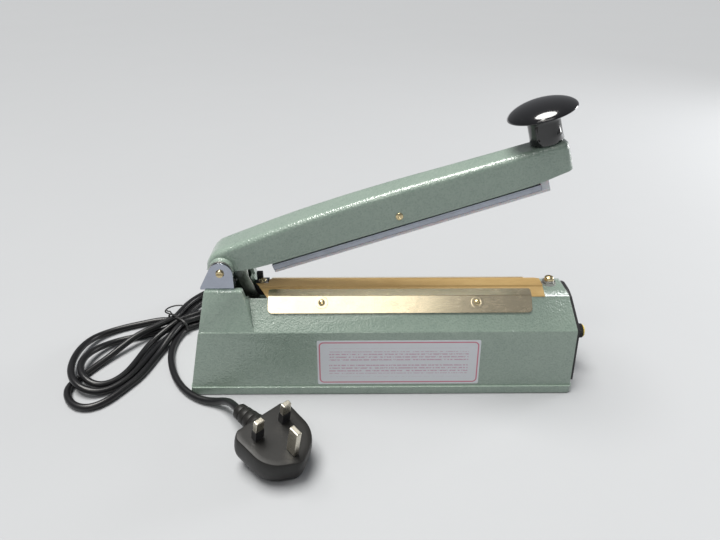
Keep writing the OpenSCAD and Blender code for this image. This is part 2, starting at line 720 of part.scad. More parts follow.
window_x = core_x / 6;
window_y = core_y * 0.6;
coil_past = 9;
core_gap = 0.15;
module transformer_core() color([0.3, 0.3, 0.33]) translate([core_at, 0, core_floor]) difference() {
    translate([-core_x / 2, -core_y / 2, 0]) cube([core_x, core_y, core_z]);
    for (i = [-1, 1]) translate([i * window_x * 1.5 - window_x / 2, -window_y / 2, -1])
        cube([window_x, window_y, core_z + 2]);
    for (i = [-1, 1], j = [-1, 1]) translate([i * pillar_x, j * pillar_y, -1]) cylinder(r = 1.8, h = core_z + 2);
}

module transformer_coil() color([0.75, 0.55, 0.2]) translate([core_at, 0, core_floor]) difference() {
    translate([-2 * window_x + core_gap, -window_y / 2 + core_gap, -coil_past])
        cube([4 * window_x - 2 * core_gap, window_y - 2 * core_gap, core_z + 2 * coil_past]);
    translate([-window_x - core_gap, -window_y, -core_gap]) cube([2 * (window_x + core_gap), 2 * window_y, core_z + 2 * core_gap]);
}

module transformer_screws() color([0.72, 0.72, 0.74]) at_pillars() rotate([180, 0, 0])
    translate([0, 0, core_z]) pan_screw(1.5, 3.2, 2.4, core_z + 9);

// ---- hinge ---------------------------------------------------------------------

module ear_outline() {
    hull() {
        translate([hinge_x + 0.2, hinge_z - 0.8]) circle(ear_r);
        translate([bracket_left, pedestal_z]) square([bracket_len, bracket_t]);
        translate([bracket_right - 1.2, hinge_z - 4.5]) square([1, 2]);
    }
}

module hinge_bracket() color([0.8, 0.81, 0.83]) difference() {
    union() {
        for (j = [-1, 1]) along_y(j * (bracket_half - bracket_t / 2) - bracket_t / 2,
            j * (bracket_half - bracket_t / 2) + bracket_t / 2) ear_outline();
        translate([bracket_left, -bracket_half + eps, pedestal_z])
            cube([bracket_len, 2 * bracket_half - 2 * eps, bracket_t]);
    }
    translate([hinge_x, 0, hinge_z]) bar_y(hinge_pin_r + 0.02, -bracket_half - 1, bracket_half + 1);
    at_bracket_screws() translate([0, 0, -5]) cylinder(r = bracket_screw_r + 0.2, h = 10);
    translate([spring_x, spring_y, pedestal_z - 1]) cylinder(r = spring_hole_r, h = 5);
    // notch for the lever
    translate([well_left, lever_y - 3, pedestal_z - 1]) cube([well_len, 6, 5]);
}

module hinge_bracket_screws() color([0.7, 0.7, 0.72]) at_bracket_screws()
    pan_screw(bracket_screw_r, 3.4, 2.2, bracket_t + wall + 3);

module hinge_pin() color([0.72, 0.73, 0.75]) translate([hinge_x, 0, hinge_z])
    bar_y(hinge_pin_r, -bracket_half, bracket_half);

module hinge_pin_screws() color([0.78, 0.66, 0.5]) for (j = [-1, 1])
    translate([hinge_x, j * bracket_half, hinge_z]) rotate([-90 * j, 0, 0]) difference() {
        cylinder(r1 = hinge_head_r, r2 = hinge_head_r * 0.8, h = 1.8);
        translate([-hinge_head_r, -0.4, 1]) cube([2 * hinge_head_r, 0.8, 2]);
    }

anchor_z = 52;
anchor_r = 1.5;
module spring_anchor() color([0.7, 0.7, 0.72]) translate([spring_x, 0, anchor_z])
    bar_y(anchor_r, spring_y - 5, shoulder_half + 1);

// a tension spring between its anchor in the base and the hook pin in the arm
spring_low = anchor_z + anchor_r + 0.2;
spring_top = hinge_z - hook_s * sin(open_angle) - hook_r - 0.2;
module return_spring() color([0.6, 0.6, 0.63]) {
    eye = 3.5;
    span = spring_top - spring_low - 2 * eye;
    per = 8;
    count = spring_turns * per;
    coil = [for (i = [0:count]) [
        spring_x + spring_r * cos(360 * i / per), spring_y + spring_r * sin(360 * i / per),
        spring_low + eye + span * i / count]];
    tube(concat([[spring_x, spring_y, spring_low + 0.6], [spring_x + spring_r * 0.7, spring_y - 0.5, spring_low + 2]],
        coil,
        [[spring_x + spring_r * 0.7, spring_y + 0.5, spring_top - 2], [spring_x, spring_y, spring_top - 0.6]]),
        spring_wire_r, 6);
}

// ---- switch --------------------------------------------------------------------

lever_s0 = 4.5;
lever_s1 = 13.4;
switch_gap = 0.6;
tip_x = hinge_x + lever_s0 - switch_gap;
pivot_x = tip_x - 4.8;
switch_x = pivot_x - 0.6;
switch_z = hinge_z - lever_deep - 5;
switch_w = 10;
switch_d = 6.4;
module microswitch() color([0.1, 0.1, 0.11]) difference() {
    translate([switch_x - switch_w, lever_y - switch_d / 2, switch_z]) cube([switch_w, switch_d, switch_h]);
    for (z = [4, switch_h - 4]) translate([switch_x - switch_w / 2, 0, switch_z + z])
        bar_y(1.25, lever_y - switch_d, lever_y + switch_d);
}

bracket_y = lever_y - switch_d / 2 - 1.2;
module microswitch_bracket() color([0.66, 0.67, 0.7]) difference() {
    union() {
        translate([switch_x - switch_w, bracket_y, switch_z]) cube([switch_w, 1.2, switch_h]);
        // a foot that runs to the front wall and lies on it
        translate([switch_x - switch_w, -pedestal_half - 0.7, switch_z])
            cube([switch_w, pedestal_half + 0.7 + bracket_y + 1, 1.4]);
    }
    for (z = [4, switch_h - 4]) translate([switch_x - switch_w / 2, 0, switch_z + z])
        bar_y(1.25, lever_y - switch_d - 4, lever_y);
}

module microswitch_screws() color([0.72, 0.72, 0.74]) for (z = [4, switch_h - 4])
    translate([switch_x - switch_w / 2, lever_y + switch_d / 2, switch_z + z]) rotate([-90, 0, 0])
        pan_screw(1.15, 2.1, 1.4, switch_d + 1.2 + 2);

// the sprung blade, hinged low on the switch, that the arm's lever pushes
module switch_lever() color([0.75, 0.76, 0.78]) {
    translate([pivot_x, 0, switch_z + 2]) bar_y(0.5, lever_y - 2.4, lever_y + 2.4);
    along_y(lever_y - 2, lever_y + 2) polygon([
        [pivot_x - 0.2, switch_z + 2], [pivot_x + 0.3, switch_z + 2],
        [tip_x, switch_z + switch_h - 2], [tip_x - 0.5, switch_z + switch_h - 2]
    ]);
}

// ---- bed -----------------------------------------------------------------------

module bed_underlay() color([0.55, 0.35, 0.2])
    translate([bed_left, -underlay_half, ridge_z]) cube([bed_len, 2 * underlay_half, underlay_t]);

module heating_element() color([0.7, 0.68, 0.64]) translate([0, 0, ridge_z + underlay_t]) difference() {
    union() {
        translate([terminal_x[0], -element_half, 0])
            cube([terminal_x[1] - terminal_x[0], 2 * element_half, element_t]);
        // an eye at each end, under the terminals' screws
        translate([terminal_x[1], terminal_y[1], 0]) cylinder(r = 3.8, h = element_t);
        translate([terminal_x[0], terminal_y[0], 0]) cylinder(r = 3.8, h = element_t);
    }
    for (k = [0, 1]) translate([terminal_x[k], terminal_y[k], -1]) cylinder(r = terminal_screw_r + 0.2, h = 3);
}

// the outline that the cloth is laid over
module bed_under_cloth() polygon([
    [-shoulder_half, shoulder_z], [shoulder_half, shoulder_z], [knee_half, knee_z],
    [ridge_half, ridge_z], [underlay_half, bed_top], [-underlay_half, bed_top],
    [-ridge_half, ridge_z], [-knee_half, knee_z]
]);

hem_past_knee = cloth_drop - knee_run;
hem_z = knee_z - hem_past_knee * sin(bevel_angle);
module cloth_cover() color([0.76, 0.62, 0.4]) intersection() {
    along_x(bed_left - cloth_tongue, bed_right) difference() {
        offset(delta = cloth_gap + cloth_t) bed_under_cloth();
        offset(delta = cloth_gap) bed_under_cloth();
    }
    union() {
        translate([bed_left, -shoulder_half, hem_z]) cube([bed_len + 1, 2 * shoulder_half, 40]);
        // the loose corner at the hinge end
        translate([0, 0, hem_z]) linear_extrude(40) polygon([
            [bed_left + 1, -1.3], [bed_left - cloth_tongue, -1.3],
            [bed_left, -knee_half - 0.5], [bed_left + 1, -knee_half - 0.5]
        ]);
    }
}

// a clamp plate: its main face lies on the bevel and its lip folds over the knee
module clamp_plate(side) {
    on_bevel(side) difference() {
        translate([plate_x, 0, plate_seat]) {
            difference() {
                translate([0, -plate_main, 0]) cube([plate_len, plate_main + fold_y, plate_t]);
                for (i = [0, 1]) translate([i * plate_len, -plate_main, -1]) mirror([i, 0, 0]) difference() {
                    translate([-1, -1, 0]) cube([plate_corner + 1, plate_corner + 1, 5]);
                    translate([plate_corner, plate_corner, -1]) cylinder(r = plate_corner, h = 7);
                }
            }
            // the lip, folded about the plate's top edge
            translate([0, fold_y, 0]) rotate([lip_angle - bevel_angle, 0, 0]) difference() {
                translate([0, -0.2, 0]) cube([plate_len, plate_lip + 0.2, plate_t]);
                for (i = [0, 1]) translate([i * plate_len, plate_lip, -1]) mirror([i, 0, 0]) difference() {
                    translate([-1, -2, 0]) cube([3, 3, 5]);
                    translate([2, -2, -1]) cylinder(r = 2, h = 7);
                }
            }
        }
        for (k = [0, 1])
            translate([plate_x + plate_screw_start + k * plate_screw_span, -plate_screw_drop, -1])
                cylinder(r = plate_screw_r + 0.2, h = 5);
    }
}
module front_clamp_plate() color([0.85, 0.82, 0.74]) clamp_plate(-1);
module rear_clamp_plate() color([0.85, 0.82, 0.74]) clamp_plate(1);

module clamp_screws() color([0.82, 0.8, 0.74]) for (side = [-1, 1]) at_plate_screws(side)
    translate([0, 0, plate_seat + plate_t]) pan_screw(plate_screw_r, 3, 1.9, plate_seat + plate_t + wall + 1);

block_top = ridge_z + underlay_t;
module left_terminal_block() color([0.07, 0.07, 0.08]) difference() {
    union() {
        translate([terminal_x[0] - 5, terminal_y[0] - 5, ledge_top]) cube([9.6, 13, block_top - ledge_top]);
        translate([terminal_x[0] - 5, terminal_y[0] + 4.5, ledge_top]) cube([9.6, 3.5, block_top + 8.4 - ledge_top]);
    }
    translate([terminal_x[0], terminal_y[0], ledge_top - 1]) cylinder(r = terminal_screw_r + screw_clear, h = 20);
}

module right_terminal_bush() color([0.12, 0.11, 0.1]) translate([terminal_x[1], 0, 0]) difference() {
    union() {
        translate([0, 0, ridge_z - wall - 1]) cylinder(r = terminal_screw_r + bush_wall, h = wall + 1);
        translate([0, 0, ridge_z]) cylinder(r = terminal_screw_r + bush_wall + 1.5, h = underlay_t);
    }
    translate([0, 0, ridge_z - 10]) cylinder(r = terminal_screw_r + screw_clear, h = 20);
}

washer_t = 1;
module terminal_washers() color([0.78, 0.76, 0.72]) {
    translate([terminal_x[1], 0, block_top + element_t]) {
        washer(5, washer_t);
        translate([0, 0, washer_t]) washer(4, 1.3);
    }
    translate([terminal_x[0], terminal_y[0], block_top + element_t]) washer(3.9, washer_t);
}
module washer(r, t) difference() {
    cylinder(r = r, h = t);
    translate([0, 0, -1]) cylinder(r = terminal_screw_r + 0.15, h = t + 2);
}

module terminal_screws() color([0.8, 0.68, 0.5]) {
    translate([terminal_x[1], 0, block_top + element_t + washer_t + 1.3])
        pan_screw(terminal_screw_r, 3.6, 3.4, 13);
    translate([terminal_x[0], terminal_y[0], block_top + element_t + washer_t])
        pan_screw(terminal_screw_r, 3.4, 2.8, 18);
}

// ---- arm: drawn closed, level with the bed, about the hinge axis ----------------------

// everything on the arm is drawn at the origin of the hinge and lifted to its open rest
module on_arm() translate([hinge_x, 0, hinge_z]) rotate([0, -open_angle, 0]) children();

function arm_top_at(s) = along(s, [
    [-arm_tail, 1.6], [-0.94 * arm_tail, 4.6], [-0.82 * arm_tail, 6.5], [-0.63 * arm_tail, 8.8],
    [-0.4 * arm_tail, 10.9], [-0.14 * arm_tail, 12.5], [1, 13.2], [0.06 * arm_len, arm_top - 3.4],
    [0.1 * arm_len, arm_top - 2.8], [0.18 * arm_len, arm_top - 1.4], [0.26 * arm_len, arm_top - 0.5],
    [0.4 * arm_len, arm_top], [0.55 * arm_len, arm_top - 0.4], [0.69 * arm_len, arm_top - 1.6],
    [0.83 * arm_len, arm_top - 2.6], [0.91 * arm_len, arm_top - 3], [arm_len, arm_top - 3.4]
]);
function arm_low_at(s) = along(s, [
    [-arm_tail, 0.6], [-0.9 * arm_tail, -2.6], [-0.72 * arm_tail, -4.2], [-0.4 * arm_tail, -5], [9, -5.4],
    [0.075 * arm_len, 2 - arm_deep], [0.15 * arm_len, 1.1 - arm_deep], [0.37 * arm_len, 0.8 - arm_deep],
    [0.52 * arm_len, 0.5 - arm_deep], [0.66 * arm_len, 0.1 - arm_deep], [0.88 * arm_len, -arm_deep],
    [0.91 * arm_len, 0.2 - arm_deep], [0.95 * arm_len, 1.5 - arm_deep], [0.98 * arm_len, 2.3 - arm_deep],
    [arm_len, 2.9 - arm_deep]
]);
function arm_half_at(s) = arm_half - arm_taper * max(0, s) / arm_len
    - (s < -4 ? 5 * (1 - cos(90 * (-4 - s) / (arm_tail - 4))) : 0);

// rounding of the free end, as a share of the end radius
end_r = 5;
function end_in(s) = s < arm_len - end_r ? 0
    : end_r * (1 - sqrt(max(0, 1 - pow((s - arm_len + end_r) / end_r, 2))));

// one ring of the arm's skin, drawn as a doorway with round top corners
function arm_ring(s, inset, drop) = let (
        w = arm_half_at(s) - inset - end_in(s),
        top = arm_top_at(s) - inset - end_in(s) * 0.7,
        low = arm_low_at(s) - drop,
        r = max(0.6, min(arm_edge - inset * 0.6, (top - low) * 0.7)))
    concat(
        [[s, -w, low]],
        [for (p = arc(-w + r, top - r, r, 180, 90, 5)) [s, p[0], p[1]]],
        [for (p = arc(w - r, top - r, r, 90, 0, 5)) [s, p[0], p[1]]],
        [[s, w, low]]);

module arm_skin(inset, drop, s_list) {
    rings = [for (s = s_list) arm_ring(s, inset, drop)];
    n = len(rings[0]);
    m = len(rings);
    polyhedron([for (ring = rings, p = ring) p], concat(
        [[for (k = [n - 1:-1:0]) k]],
        [for (i = [0:m - 2], k = [0:n - 1])
            [i * n + k, i * n + (k + 1) % n, (i + 1) * n + (k + 1) % n, (i + 1) * n + k]],
        [[for (k = [0:n - 1]) (m - 1) * n + k]]));
}

tail_stations = [for (k = [0.63, 0.4, 0.14]) -k * arm_tail];
arm_stations = concat([for (k = [1, 0.94, 0.82]) -k * arm_tail], tail_stations, [1, 8], [for (s = [16:14:arm_len - 20]) s],
    [arm_len - end_r, arm_len - 3.4, arm_len - 2.1, arm_len - 1.1, arm_len - 0.4, arm_len]);
arm_inner_stations = concat([-arm_tail + arm_wall], tail_stations, [1, 8], [for (s = [16:14:arm_len - 20]) s],
    [arm_len - end_r, arm_len - arm_wall - 0.6]);

handle_base = arm_top_at(handle_s);
pad_h = 0.4;
pad_r = 7.4;
rib_s = [17, 34];
lever_screw_s = [20.5, 29];
module arm_casting() color([0.56, 0.64, 0.6]) on_arm() difference() {
    union() {
        difference() {
            arm_skin(0, 0, arm_stations);
            arm_skin(arm_wall, 30, arm_inner_stations);
        }
        // bosses: outside by the ears, inside for the bushings
        for (j = [-1, 1]) {
            bar_y(boss_r, j > 0 ? arm_half - arm_wall + 0.3 : -boss_face, j > 0 ? boss_face : arm_wall - 0.3 - arm_half);
            bar_y(bush_r + 2, j > 0 ? bush_in + 0.4 : 1 - arm_half, j > 0 ? arm_half - 1 : -bush_in - 0.4);
            // tubes that centre the pressure bar on its pivot
            translate([pivot_s, 0, pivot_t]) bar_y(pivot_r + 2.5,
                j > 0 ? bar_half + side_clear : 1 - arm_half_at(pivot_s),
                j > 0 ? arm_half_at(pivot_s) - 1 : -bar_half - side_clear);
        }
        // rib that carries the lever, and the boss under the handle
        translate([rib_s[0], lever_y + lever_half_t, -1]) cube([rib_s[1] - rib_s[0], 6, 14]);
        translate([handle_s, 0, 3]) cylinder(r = 7, h = handle_base - 4);
        translate([handle_s, 0, handle_base - 3]) cylinder(r = pad_r, h = 3 + pad_h);
        // ribs across the channel
        for (s = [80, 195]) translate([s, 1.5 - arm_half_at(s), 3])
            cube([2.4, 2 * arm_half_at(s) - 3, arm_top_at(s) - arm_wall - 2]);
    }
    bar_y(bush_r + 0.02, -boss_face - 1, boss_face + 1);
    translate([-hook_s, 0, 0]) bar_y(hook_r + 0.02, -arm_half + 1.98, arm_half - 1.98);
    // room for the spring behind the hook pin
    translate([-hook_s - 3.2, spring_y - 3.9, -20]) cube([7, 7.8, 22.5]);
    translate([pivot_s, 0, pivot_t]) bar_y(pivot_r + 0.03, -arm_half - 2, arm_half + 2);
    for (s = lever_screw_s) translate([s, 0, 5]) bar_y(1.5 + screw_clear, lever_y - 1, lever_y + 8);
    translate([handle_s, 0, 0]) cylinder(r = handle_bolt_r + screw_clear, h = 30);
}

module hinge_bushings() color([0.9, 0.88, 0.8]) on_arm() for (j = [-1, 1])
    difference() {
        bar_y(bush_r, j > 0 ? bush_in : -boss_face, j > 0 ? boss_face : -bush_in);
        bar_y(hinge_pin_r + hinge_clear, -30, 30);
    }

module spring_hook_pin() color([0.7, 0.7, 0.72]) on_arm() translate([-hook_s, 0, 0])
    bar_y(hook_r, -arm_half + 2, arm_half - 2);

// the lever: a flat plate screwed to the rib, which drops into the well
module actuator_lever() color([0.72, 0.75, 0.78]) on_arm() difference() {
    along_y(lever_y - lever_half_t, lever_y + lever_half_t) difference() {
        union() {
            polygon([
                [lever_s0, -4], [lever_s0 - 0.6, -lever_deep * 0.45], [lever_s0, -lever_deep + 2],
                [lever_s0 + 2, -lever_deep], [lever_s1 - 1.5, -lever_deep], [lever_s1, -lever_deep + 1.5],
                [lever_s1 - 1, -lever_deep * 0.45], [lever_s1 + 2.5, -3.2], [rib_s[1] - 0.5, 0.5],
                [rib_s[1] - 0.5, 8.5], [lever_s1 + 2, 8.5], [lever_s1 - 3, 5.5], [lever_s0 + 1, 4]
            ]);
        }
        translate([0, 0]) circle(hinge_pin_r + 1.2);
    }
    for (s = lever_screw_s) translate([s, 0, 5]) bar_y(1.7, lever_y - 2, lever_y + 2);
}

module actuator_screws() color([0.72, 0.72, 0.74]) on_arm() for (s = lever_screw_s)
    translate([s, lever_y - lever_half_t, 5]) rotate([90, 0, 0]) pan_screw(1.5, 2.8, 1.8, 2 * lever_half_t + 5);

module bar_pivot_pin() color([0.7, 0.68, 0.62]) on_arm() translate([pivot_s, 0, pivot_t]) {
    side_y = arm_half_at(pivot_s);
    bar_y(pivot_r, -side_y - 0.5, side_y + 0.5);
    for (j = [-1, 1]) translate([0, j * (side_y + 0.03), 0]) rotate([-90 * j, 0, 0])
        cylinder(r1 = 2.8, r2 = 2.3, h = 1.1);
}

module handle_bolt() color([0.7, 0.7, 0.72]) on_arm() translate([handle_s, 0, 3]) rotate([0, 0, 0]) {
    translate([0, 0, -3]) cylinder(r = handle_bolt_r * 1.9, h = 3, $fn = 6);
    cylinder(r = handle_bolt_r, h = handle_base - 3 + 14);
}

// the handle: a flared neck under a domed cap, turned about the bolt
module handle_knob() color([0.03, 0.03, 0.04]) on_arm() translate([handle_s, 0, handle_base + pad_h + 0.02]) {
    dome_r = (cap_r * cap_r * 0.94 * 0.94 + cap_dome * cap_dome) / (2 * cap_dome);
    rim_r = 1.3;
    difference() {
        rotate_extrude($fn = 96) {
            polygon(concat(
                [[0, 0], [neck_r, 0]],
                arc(neck_r + 4, cap_rim_h - 6.4, 4.4, 180, 105, 4),
                arc(cap_r - rim_r, cap_rim_h + 0.2, rim_r, -65, 58, 6),
                [for (a = [7:-1:0]) let (x = (cap_r - rim_r * 0.8) * a / 8)
                    [x, cap_rim_h + cap_dome - dome_r + sqrt(dome_r * dome_r - x * x)]]));
        }
        translate([0, 0, -1]) cylinder(r = handle_bolt_r + screw_clear, h = 15.2);
    }
}

// ---- pressure bar --------------------------------------------------------------

stem_half = bar_half - bar_wall - 0.3;
module pressure_bar() color([0.75, 0.77, 0.82]) on_arm() difference() {
    union() {
        translate([bar_start, -bar_half, -bar_deep]) cube([bar_len, 2 * bar_half, bar_h]);
        // the lug for the pivot
        along_y(-bar_half, bar_half) {
            translate([pivot_s - 8, -bar_deep + bar_h - 1]) square([16, bar_deep - bar_h + pivot_t + 1]);
            translate([pivot_s, pivot_t]) circle(8);
        }
    }
    translate([bar_start - 1, -stem_half - 0.05, -bar_deep - 1]) cube([bar_len + 2, 2 * stem_half + 0.1, bar_h - bar_wall + 1]);
    translate([pivot_s, 0, pivot_t]) bar_y(pivot_r + shaft_clear, -20, 20);
}

module silicone_strip() color([0.93, 0.93, 0.95]) on_arm() {
    // lip under the bar and stem inside it, both past the bar's free end
    translate([bar_start, -bar_half, -silicone_low]) cube([bar_len + silicone_past, 2 * bar_half, silicone_low - bar_deep - 0.02]);
    translate([bar_start, -stem_half, -bar_deep - 0.03]) cube([bar_len, 2 * stem_half, bar_h - bar_wall - 0.2]);
    translate([bar_start + bar_len + 0.02, -bar_half, -bar_deep - 0.03]) cube([silicone_past - 0.02, 2 * bar_half, bar_h - 0.4]);
}

// ---- mains lead ----------------------------------------------------------------

module cord_gland() color([0.05, 0.05, 0.06]) translate([gland_at[0], gland_wall_y, gland_z]) difference() {
    union() {
        // flange outside the wall, collar through it, and the tapered relief
        bar_y(gland_r, 1.06, 3.2);
        bar_y(gland_r - 2.05, -wall - 2, 2);
        translate([0, 3, 0]) rotate([-90, 0, 0])
            cylinder(r1 = cord_d / 2 + 2, r2 = cord_d / 2 + 0.9, h = gland_at[1] - gland_wall_y - 3);
        for (k = [0:4]) translate([0, 5 + 4.2 * k, 0]) bar_y(cord_d / 2 + 2.3 - 0.15 * k, 0, 2);
    }
    bar_y(cord_d / 2 + 0.05, -wall - 10, gland_at[1] - gland_wall_y - 1);
}

module cord_tail() color([0.05, 0.05, 0.05]) tube(smooth_route(tail_route, 2), cord_d / 2, 8);

module cord_hank() color([0.05, 0.05, 0.05]) translate([0, 0, hank_low]) linear_extrude(hank_h) hull() {
    translate(tie_at) circle(hank_neck_r, $fn = 32);
    translate(hank_far) circle(hank_far_r, $fn = 40);
}

module cord_loops() color([0.05, 0.05, 0.05]) {
    tube(smooth_route(loop_a_route, 1), cord_d / 2, 8);
    tube(smooth_route(loop_b_route, 1), cord_d / 2, 8);
    tube(smooth_route(loop_c_route, 1), cord_d / 2, 8);
}

module cord_lead() color([0.05, 0.05, 0.05]) tube(smooth_route(lead_route, 2), cord_d / 2, 8);

module cord_tie() color([0.03, 0.03, 0.03]) translate([tie_at[0], tie_at[1], 0.1]) rotate([0, 0, tie_turn])
    difference() {
        translate([-3.5, -13.4, 0]) cube([3, 26.8, hank_low + hank_h + 0.8]);
        translate([-5, -12.6, 0.7]) cube([6, 25.2, hank_low + hank_h - 0.7]);
    }

// the plug lies on its back: this frame has its face as z = 0 and the earth pin towards +X
module on_plug() translate(plug_at) rotate([0, 0, plug_turn]) rotate([0, plug_tilt, 0]) children();

module plug_outline(grow) offset(r = grow) intersection() {
    hull() {
        translate([-3, 0.4]) circle(21.8, $fn = 64);
        translate([13.4, 0.4]) circle(7.4);
        for (j = [-1, 1]) translate([-17, j * 15.6]) circle(6.8);
    }
    translate([-23.6, -40]) square(80);
}

module plug_body() color([0.06, 0.06, 0.07]) intersection() {
    on_plug() hull() {
        translate([0, 0, -1]) linear_extrude(1) plug_outline(-0.6);
        translate([0, 0, -9]) linear_extrude(7) plug_outline(0.6);
        translate([0, 0, -16]) linear_extrude(1) plug_outline(-3);
        translate([0, 0, -34]) linear_extrude(1) plug_outline(-16);
    }
    translate([plug_at[0] - 40, plug_at[1] - 40, 0]) cube([80, 80, 60]);
}

module plug_boot() color([0.05, 0.05, 0.06]) {
    way = boot_end - boot_start;
    long = norm(way);
    translate(boot_start) rotate([0, acos(way[2] / long), atan2(way[1], way[0])]) {
        cylinder(r1 = cord_d / 2 + 3.6, r2 = cord_d / 2 + 1.8, h = long);
        for (k = [0:3]) translate([0, 0, 4 + 5.4 * k]) cylinder(r = cord_d / 2 + 4 - 0.4 * k, h = 3);
    }
}

module pin(x, y, l, w, h) translate([x - l / 2, y - w / 2, 0.02]) cube([l, w, h]);
module plug_pins() color([0.85, 0.75, 0.5]) on_plug() {
    pin(pin_pitch / 2, 0, 8, 4, 22.7);
    for (j = [-1, 1]) pin(-pin_pitch / 2, j * pin_pitch / 2, 4, 6.35, 17.7);
}
module plug_sleeves() color([0.05, 0.05, 0.06]) on_plug() for (j = [-1, 1]) difference() {
    pin(-pin_pitch / 2, j * pin_pitch / 2, 4.4, 6.75, 9);
    translate([0, 0, -1]) pin(-pin_pitch / 2, j * pin_pitch / 2, 4.04, 6.39, 20);
}

base_casting();
bottom_cover();
bottom_screws();
end_panel();
panel_screws();
indicator_lamp();
lamp_bezel();
timer_board();
board_parts();
timer_pot();
pot_nut();
transformer_core();
transformer_coil();
transformer_screws();
microswitch();
microswitch_bracket();
microswitch_screws();
switch_lever();
hinge_bracket();
hinge_bracket_screws();
hinge_pin();
hinge_pin_screws();
bed_underlay();
heating_element();
cloth_cover();
front_clamp_plate();
rear_clamp_plate();
clamp_screws();
left_terminal_block();
right_terminal_bush();
terminal_washers();
terminal_screws();
return_spring();
spring_anchor();
cord_gland();
cord_tail();
cord_hank();
cord_loops();
cord_lead();
cord_tie();
plug_body();
plug_boot();
plug_pins();
plug_sleeves();
arm_casting();
handle_knob();
handle_bolt();
hinge_bushings();
actuator_lever();
actuator_screws();
bar_pivot_pin();
spring_hook_pin();
pressure_bar();
silicone_strip();
timer_knob();
knob_cap();
pot_shaft();
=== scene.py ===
import json
import math

import bmesh
import bpy
from mathutils import Matrix, Vector


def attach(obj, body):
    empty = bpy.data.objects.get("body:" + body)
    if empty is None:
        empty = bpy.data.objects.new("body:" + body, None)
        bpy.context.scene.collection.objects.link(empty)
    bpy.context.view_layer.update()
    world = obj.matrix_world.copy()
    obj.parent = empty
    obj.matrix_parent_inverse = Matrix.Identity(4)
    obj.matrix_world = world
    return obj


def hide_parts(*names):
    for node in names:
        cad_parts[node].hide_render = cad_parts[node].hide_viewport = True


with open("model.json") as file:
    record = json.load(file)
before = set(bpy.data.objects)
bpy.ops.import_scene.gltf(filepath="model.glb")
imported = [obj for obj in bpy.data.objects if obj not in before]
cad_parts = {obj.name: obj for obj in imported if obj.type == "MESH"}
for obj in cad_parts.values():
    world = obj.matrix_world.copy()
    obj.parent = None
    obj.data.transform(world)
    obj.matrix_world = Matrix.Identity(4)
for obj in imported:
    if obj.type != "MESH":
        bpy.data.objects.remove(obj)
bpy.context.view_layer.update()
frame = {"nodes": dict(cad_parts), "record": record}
nodes = frame["nodes"]
slots = {row["node"]: row["material_slot"] for row in frame["record"]["subparts"]}
bodies = {node: body for body, members in frame["record"]["behaviour"]["bodies"].items() for node in members}
mm = 0.001
print("frame loaded")

# the camera

viewpoint = {"place": (-19.9, -381.5, 302.5), "pitch": 29.12, "yaw": 0.46, "roll": 0.02, "lens": 28.18}


def setCamera(v):
    data = bpy.data.cameras.new("camera")
    data.lens = v["lens"]
    data.sensor_width = 36
    data.clip_start = 0.01
    data.clip_end = 40
    camera = bpy.data.objects.new("camera", data)
    bpy.context.scene.collection.objects.link(camera)
    pitch, yaw = math.radians(v["pitch"]), math.radians(v["yaw"])
    forward = Vector((math.sin(yaw) * math.cos(pitch), math.cos(yaw) * math.cos(pitch), -math.sin(pitch)))
    turn = forward.to_track_quat("-Z", "Y").to_matrix() @ Matrix.Rotation(math.radians(v["roll"]), 3, "Z")
    camera.matrix_world = Matrix.Translation(Vector(v["place"]) * mm) @ turn.to_4x4()
    bpy.context.scene.camera = camera


setCamera(viewpoint)

# material nodes


def addNode(tree, kind, values=None, **settings):
    # each input is set to a value, or linked where the value is a socket
    node = tree.nodes.new(kind)
    for name, value in settings.items():
        setattr(node, name, value)
    for name, value in (values or {}).items():
        feed(tree, node.inputs[name], value)
    return node


def feed(tree, socket, value):
    if isinstance(value, bpy.types.NodeSocket):
        tree.links.new(value, socket)
    elif socket.type == "RGBA":
        socket.default_value = (*value[:3], 1)
    else:
        socket.default_value = value


def mixColour(tree, factor, first, second):
    node = addNode(tree, "ShaderNodeMix", data_type="RGBA")
    for index, value in ((0, factor), (6, first), (7, second)):
        feed(tree, node.inputs[index], value)
    return node.outputs[2]


def sums(tree, operation, *values):
    node = addNode(tree, "ShaderNodeMath", operation=operation)
    for index, value in enumerate(values):
        feed(tree, node.inputs[index], value)
    return node.outputs[0]


def spread(tree, value, low, high, newLow=0.0, newHigh=1.0):
    return addNode(tree, "ShaderNodeMapRange", {
        "Value": value, "From Min": low, "From Max": high, "To Min": newLow, "To Max": newHigh}).outputs[0]


def stretch(tree, place, scale):
    return addNode(tree, "ShaderNodeMapping", {"Vector": place, "Scale": scale}).outputs[0]


def noise(tree, place, scale, detail=3.0, rough=0.5):
    return addNode(tree, "ShaderNodeTexNoise", {
        "Vector": place, "Scale": scale, "Detail": detail, "Roughness": rough}).outputs[0]


def newGroup(name, inputs, outputs):
    kinds = {"f": "NodeSocketFloat", "v": "NodeSocketVector"}
    group = bpy.data.node_groups.new(name, "ShaderNodeTree")
    for label, kind, value in inputs:
        socket = group.interface.new_socket(label, in_out="INPUT", socket_type=kinds[kind])
        if value is not None:
            socket.default_value = value
    for label, kind in outputs:
        group.interface.new_socket(label, in_out="OUTPUT", socket_type=kinds[kind])
    return group, group.nodes.new("NodeGroupInput").outputs, group.nodes.new("NodeGroupOutput").inputs


def useGroup(tree, group, **values):
    node = tree.nodes.new("ShaderNodeGroup")
    node.node_tree = group
    for name, value in values.items():
        feed(tree, node.inputs[name], value)
    return node.outputs


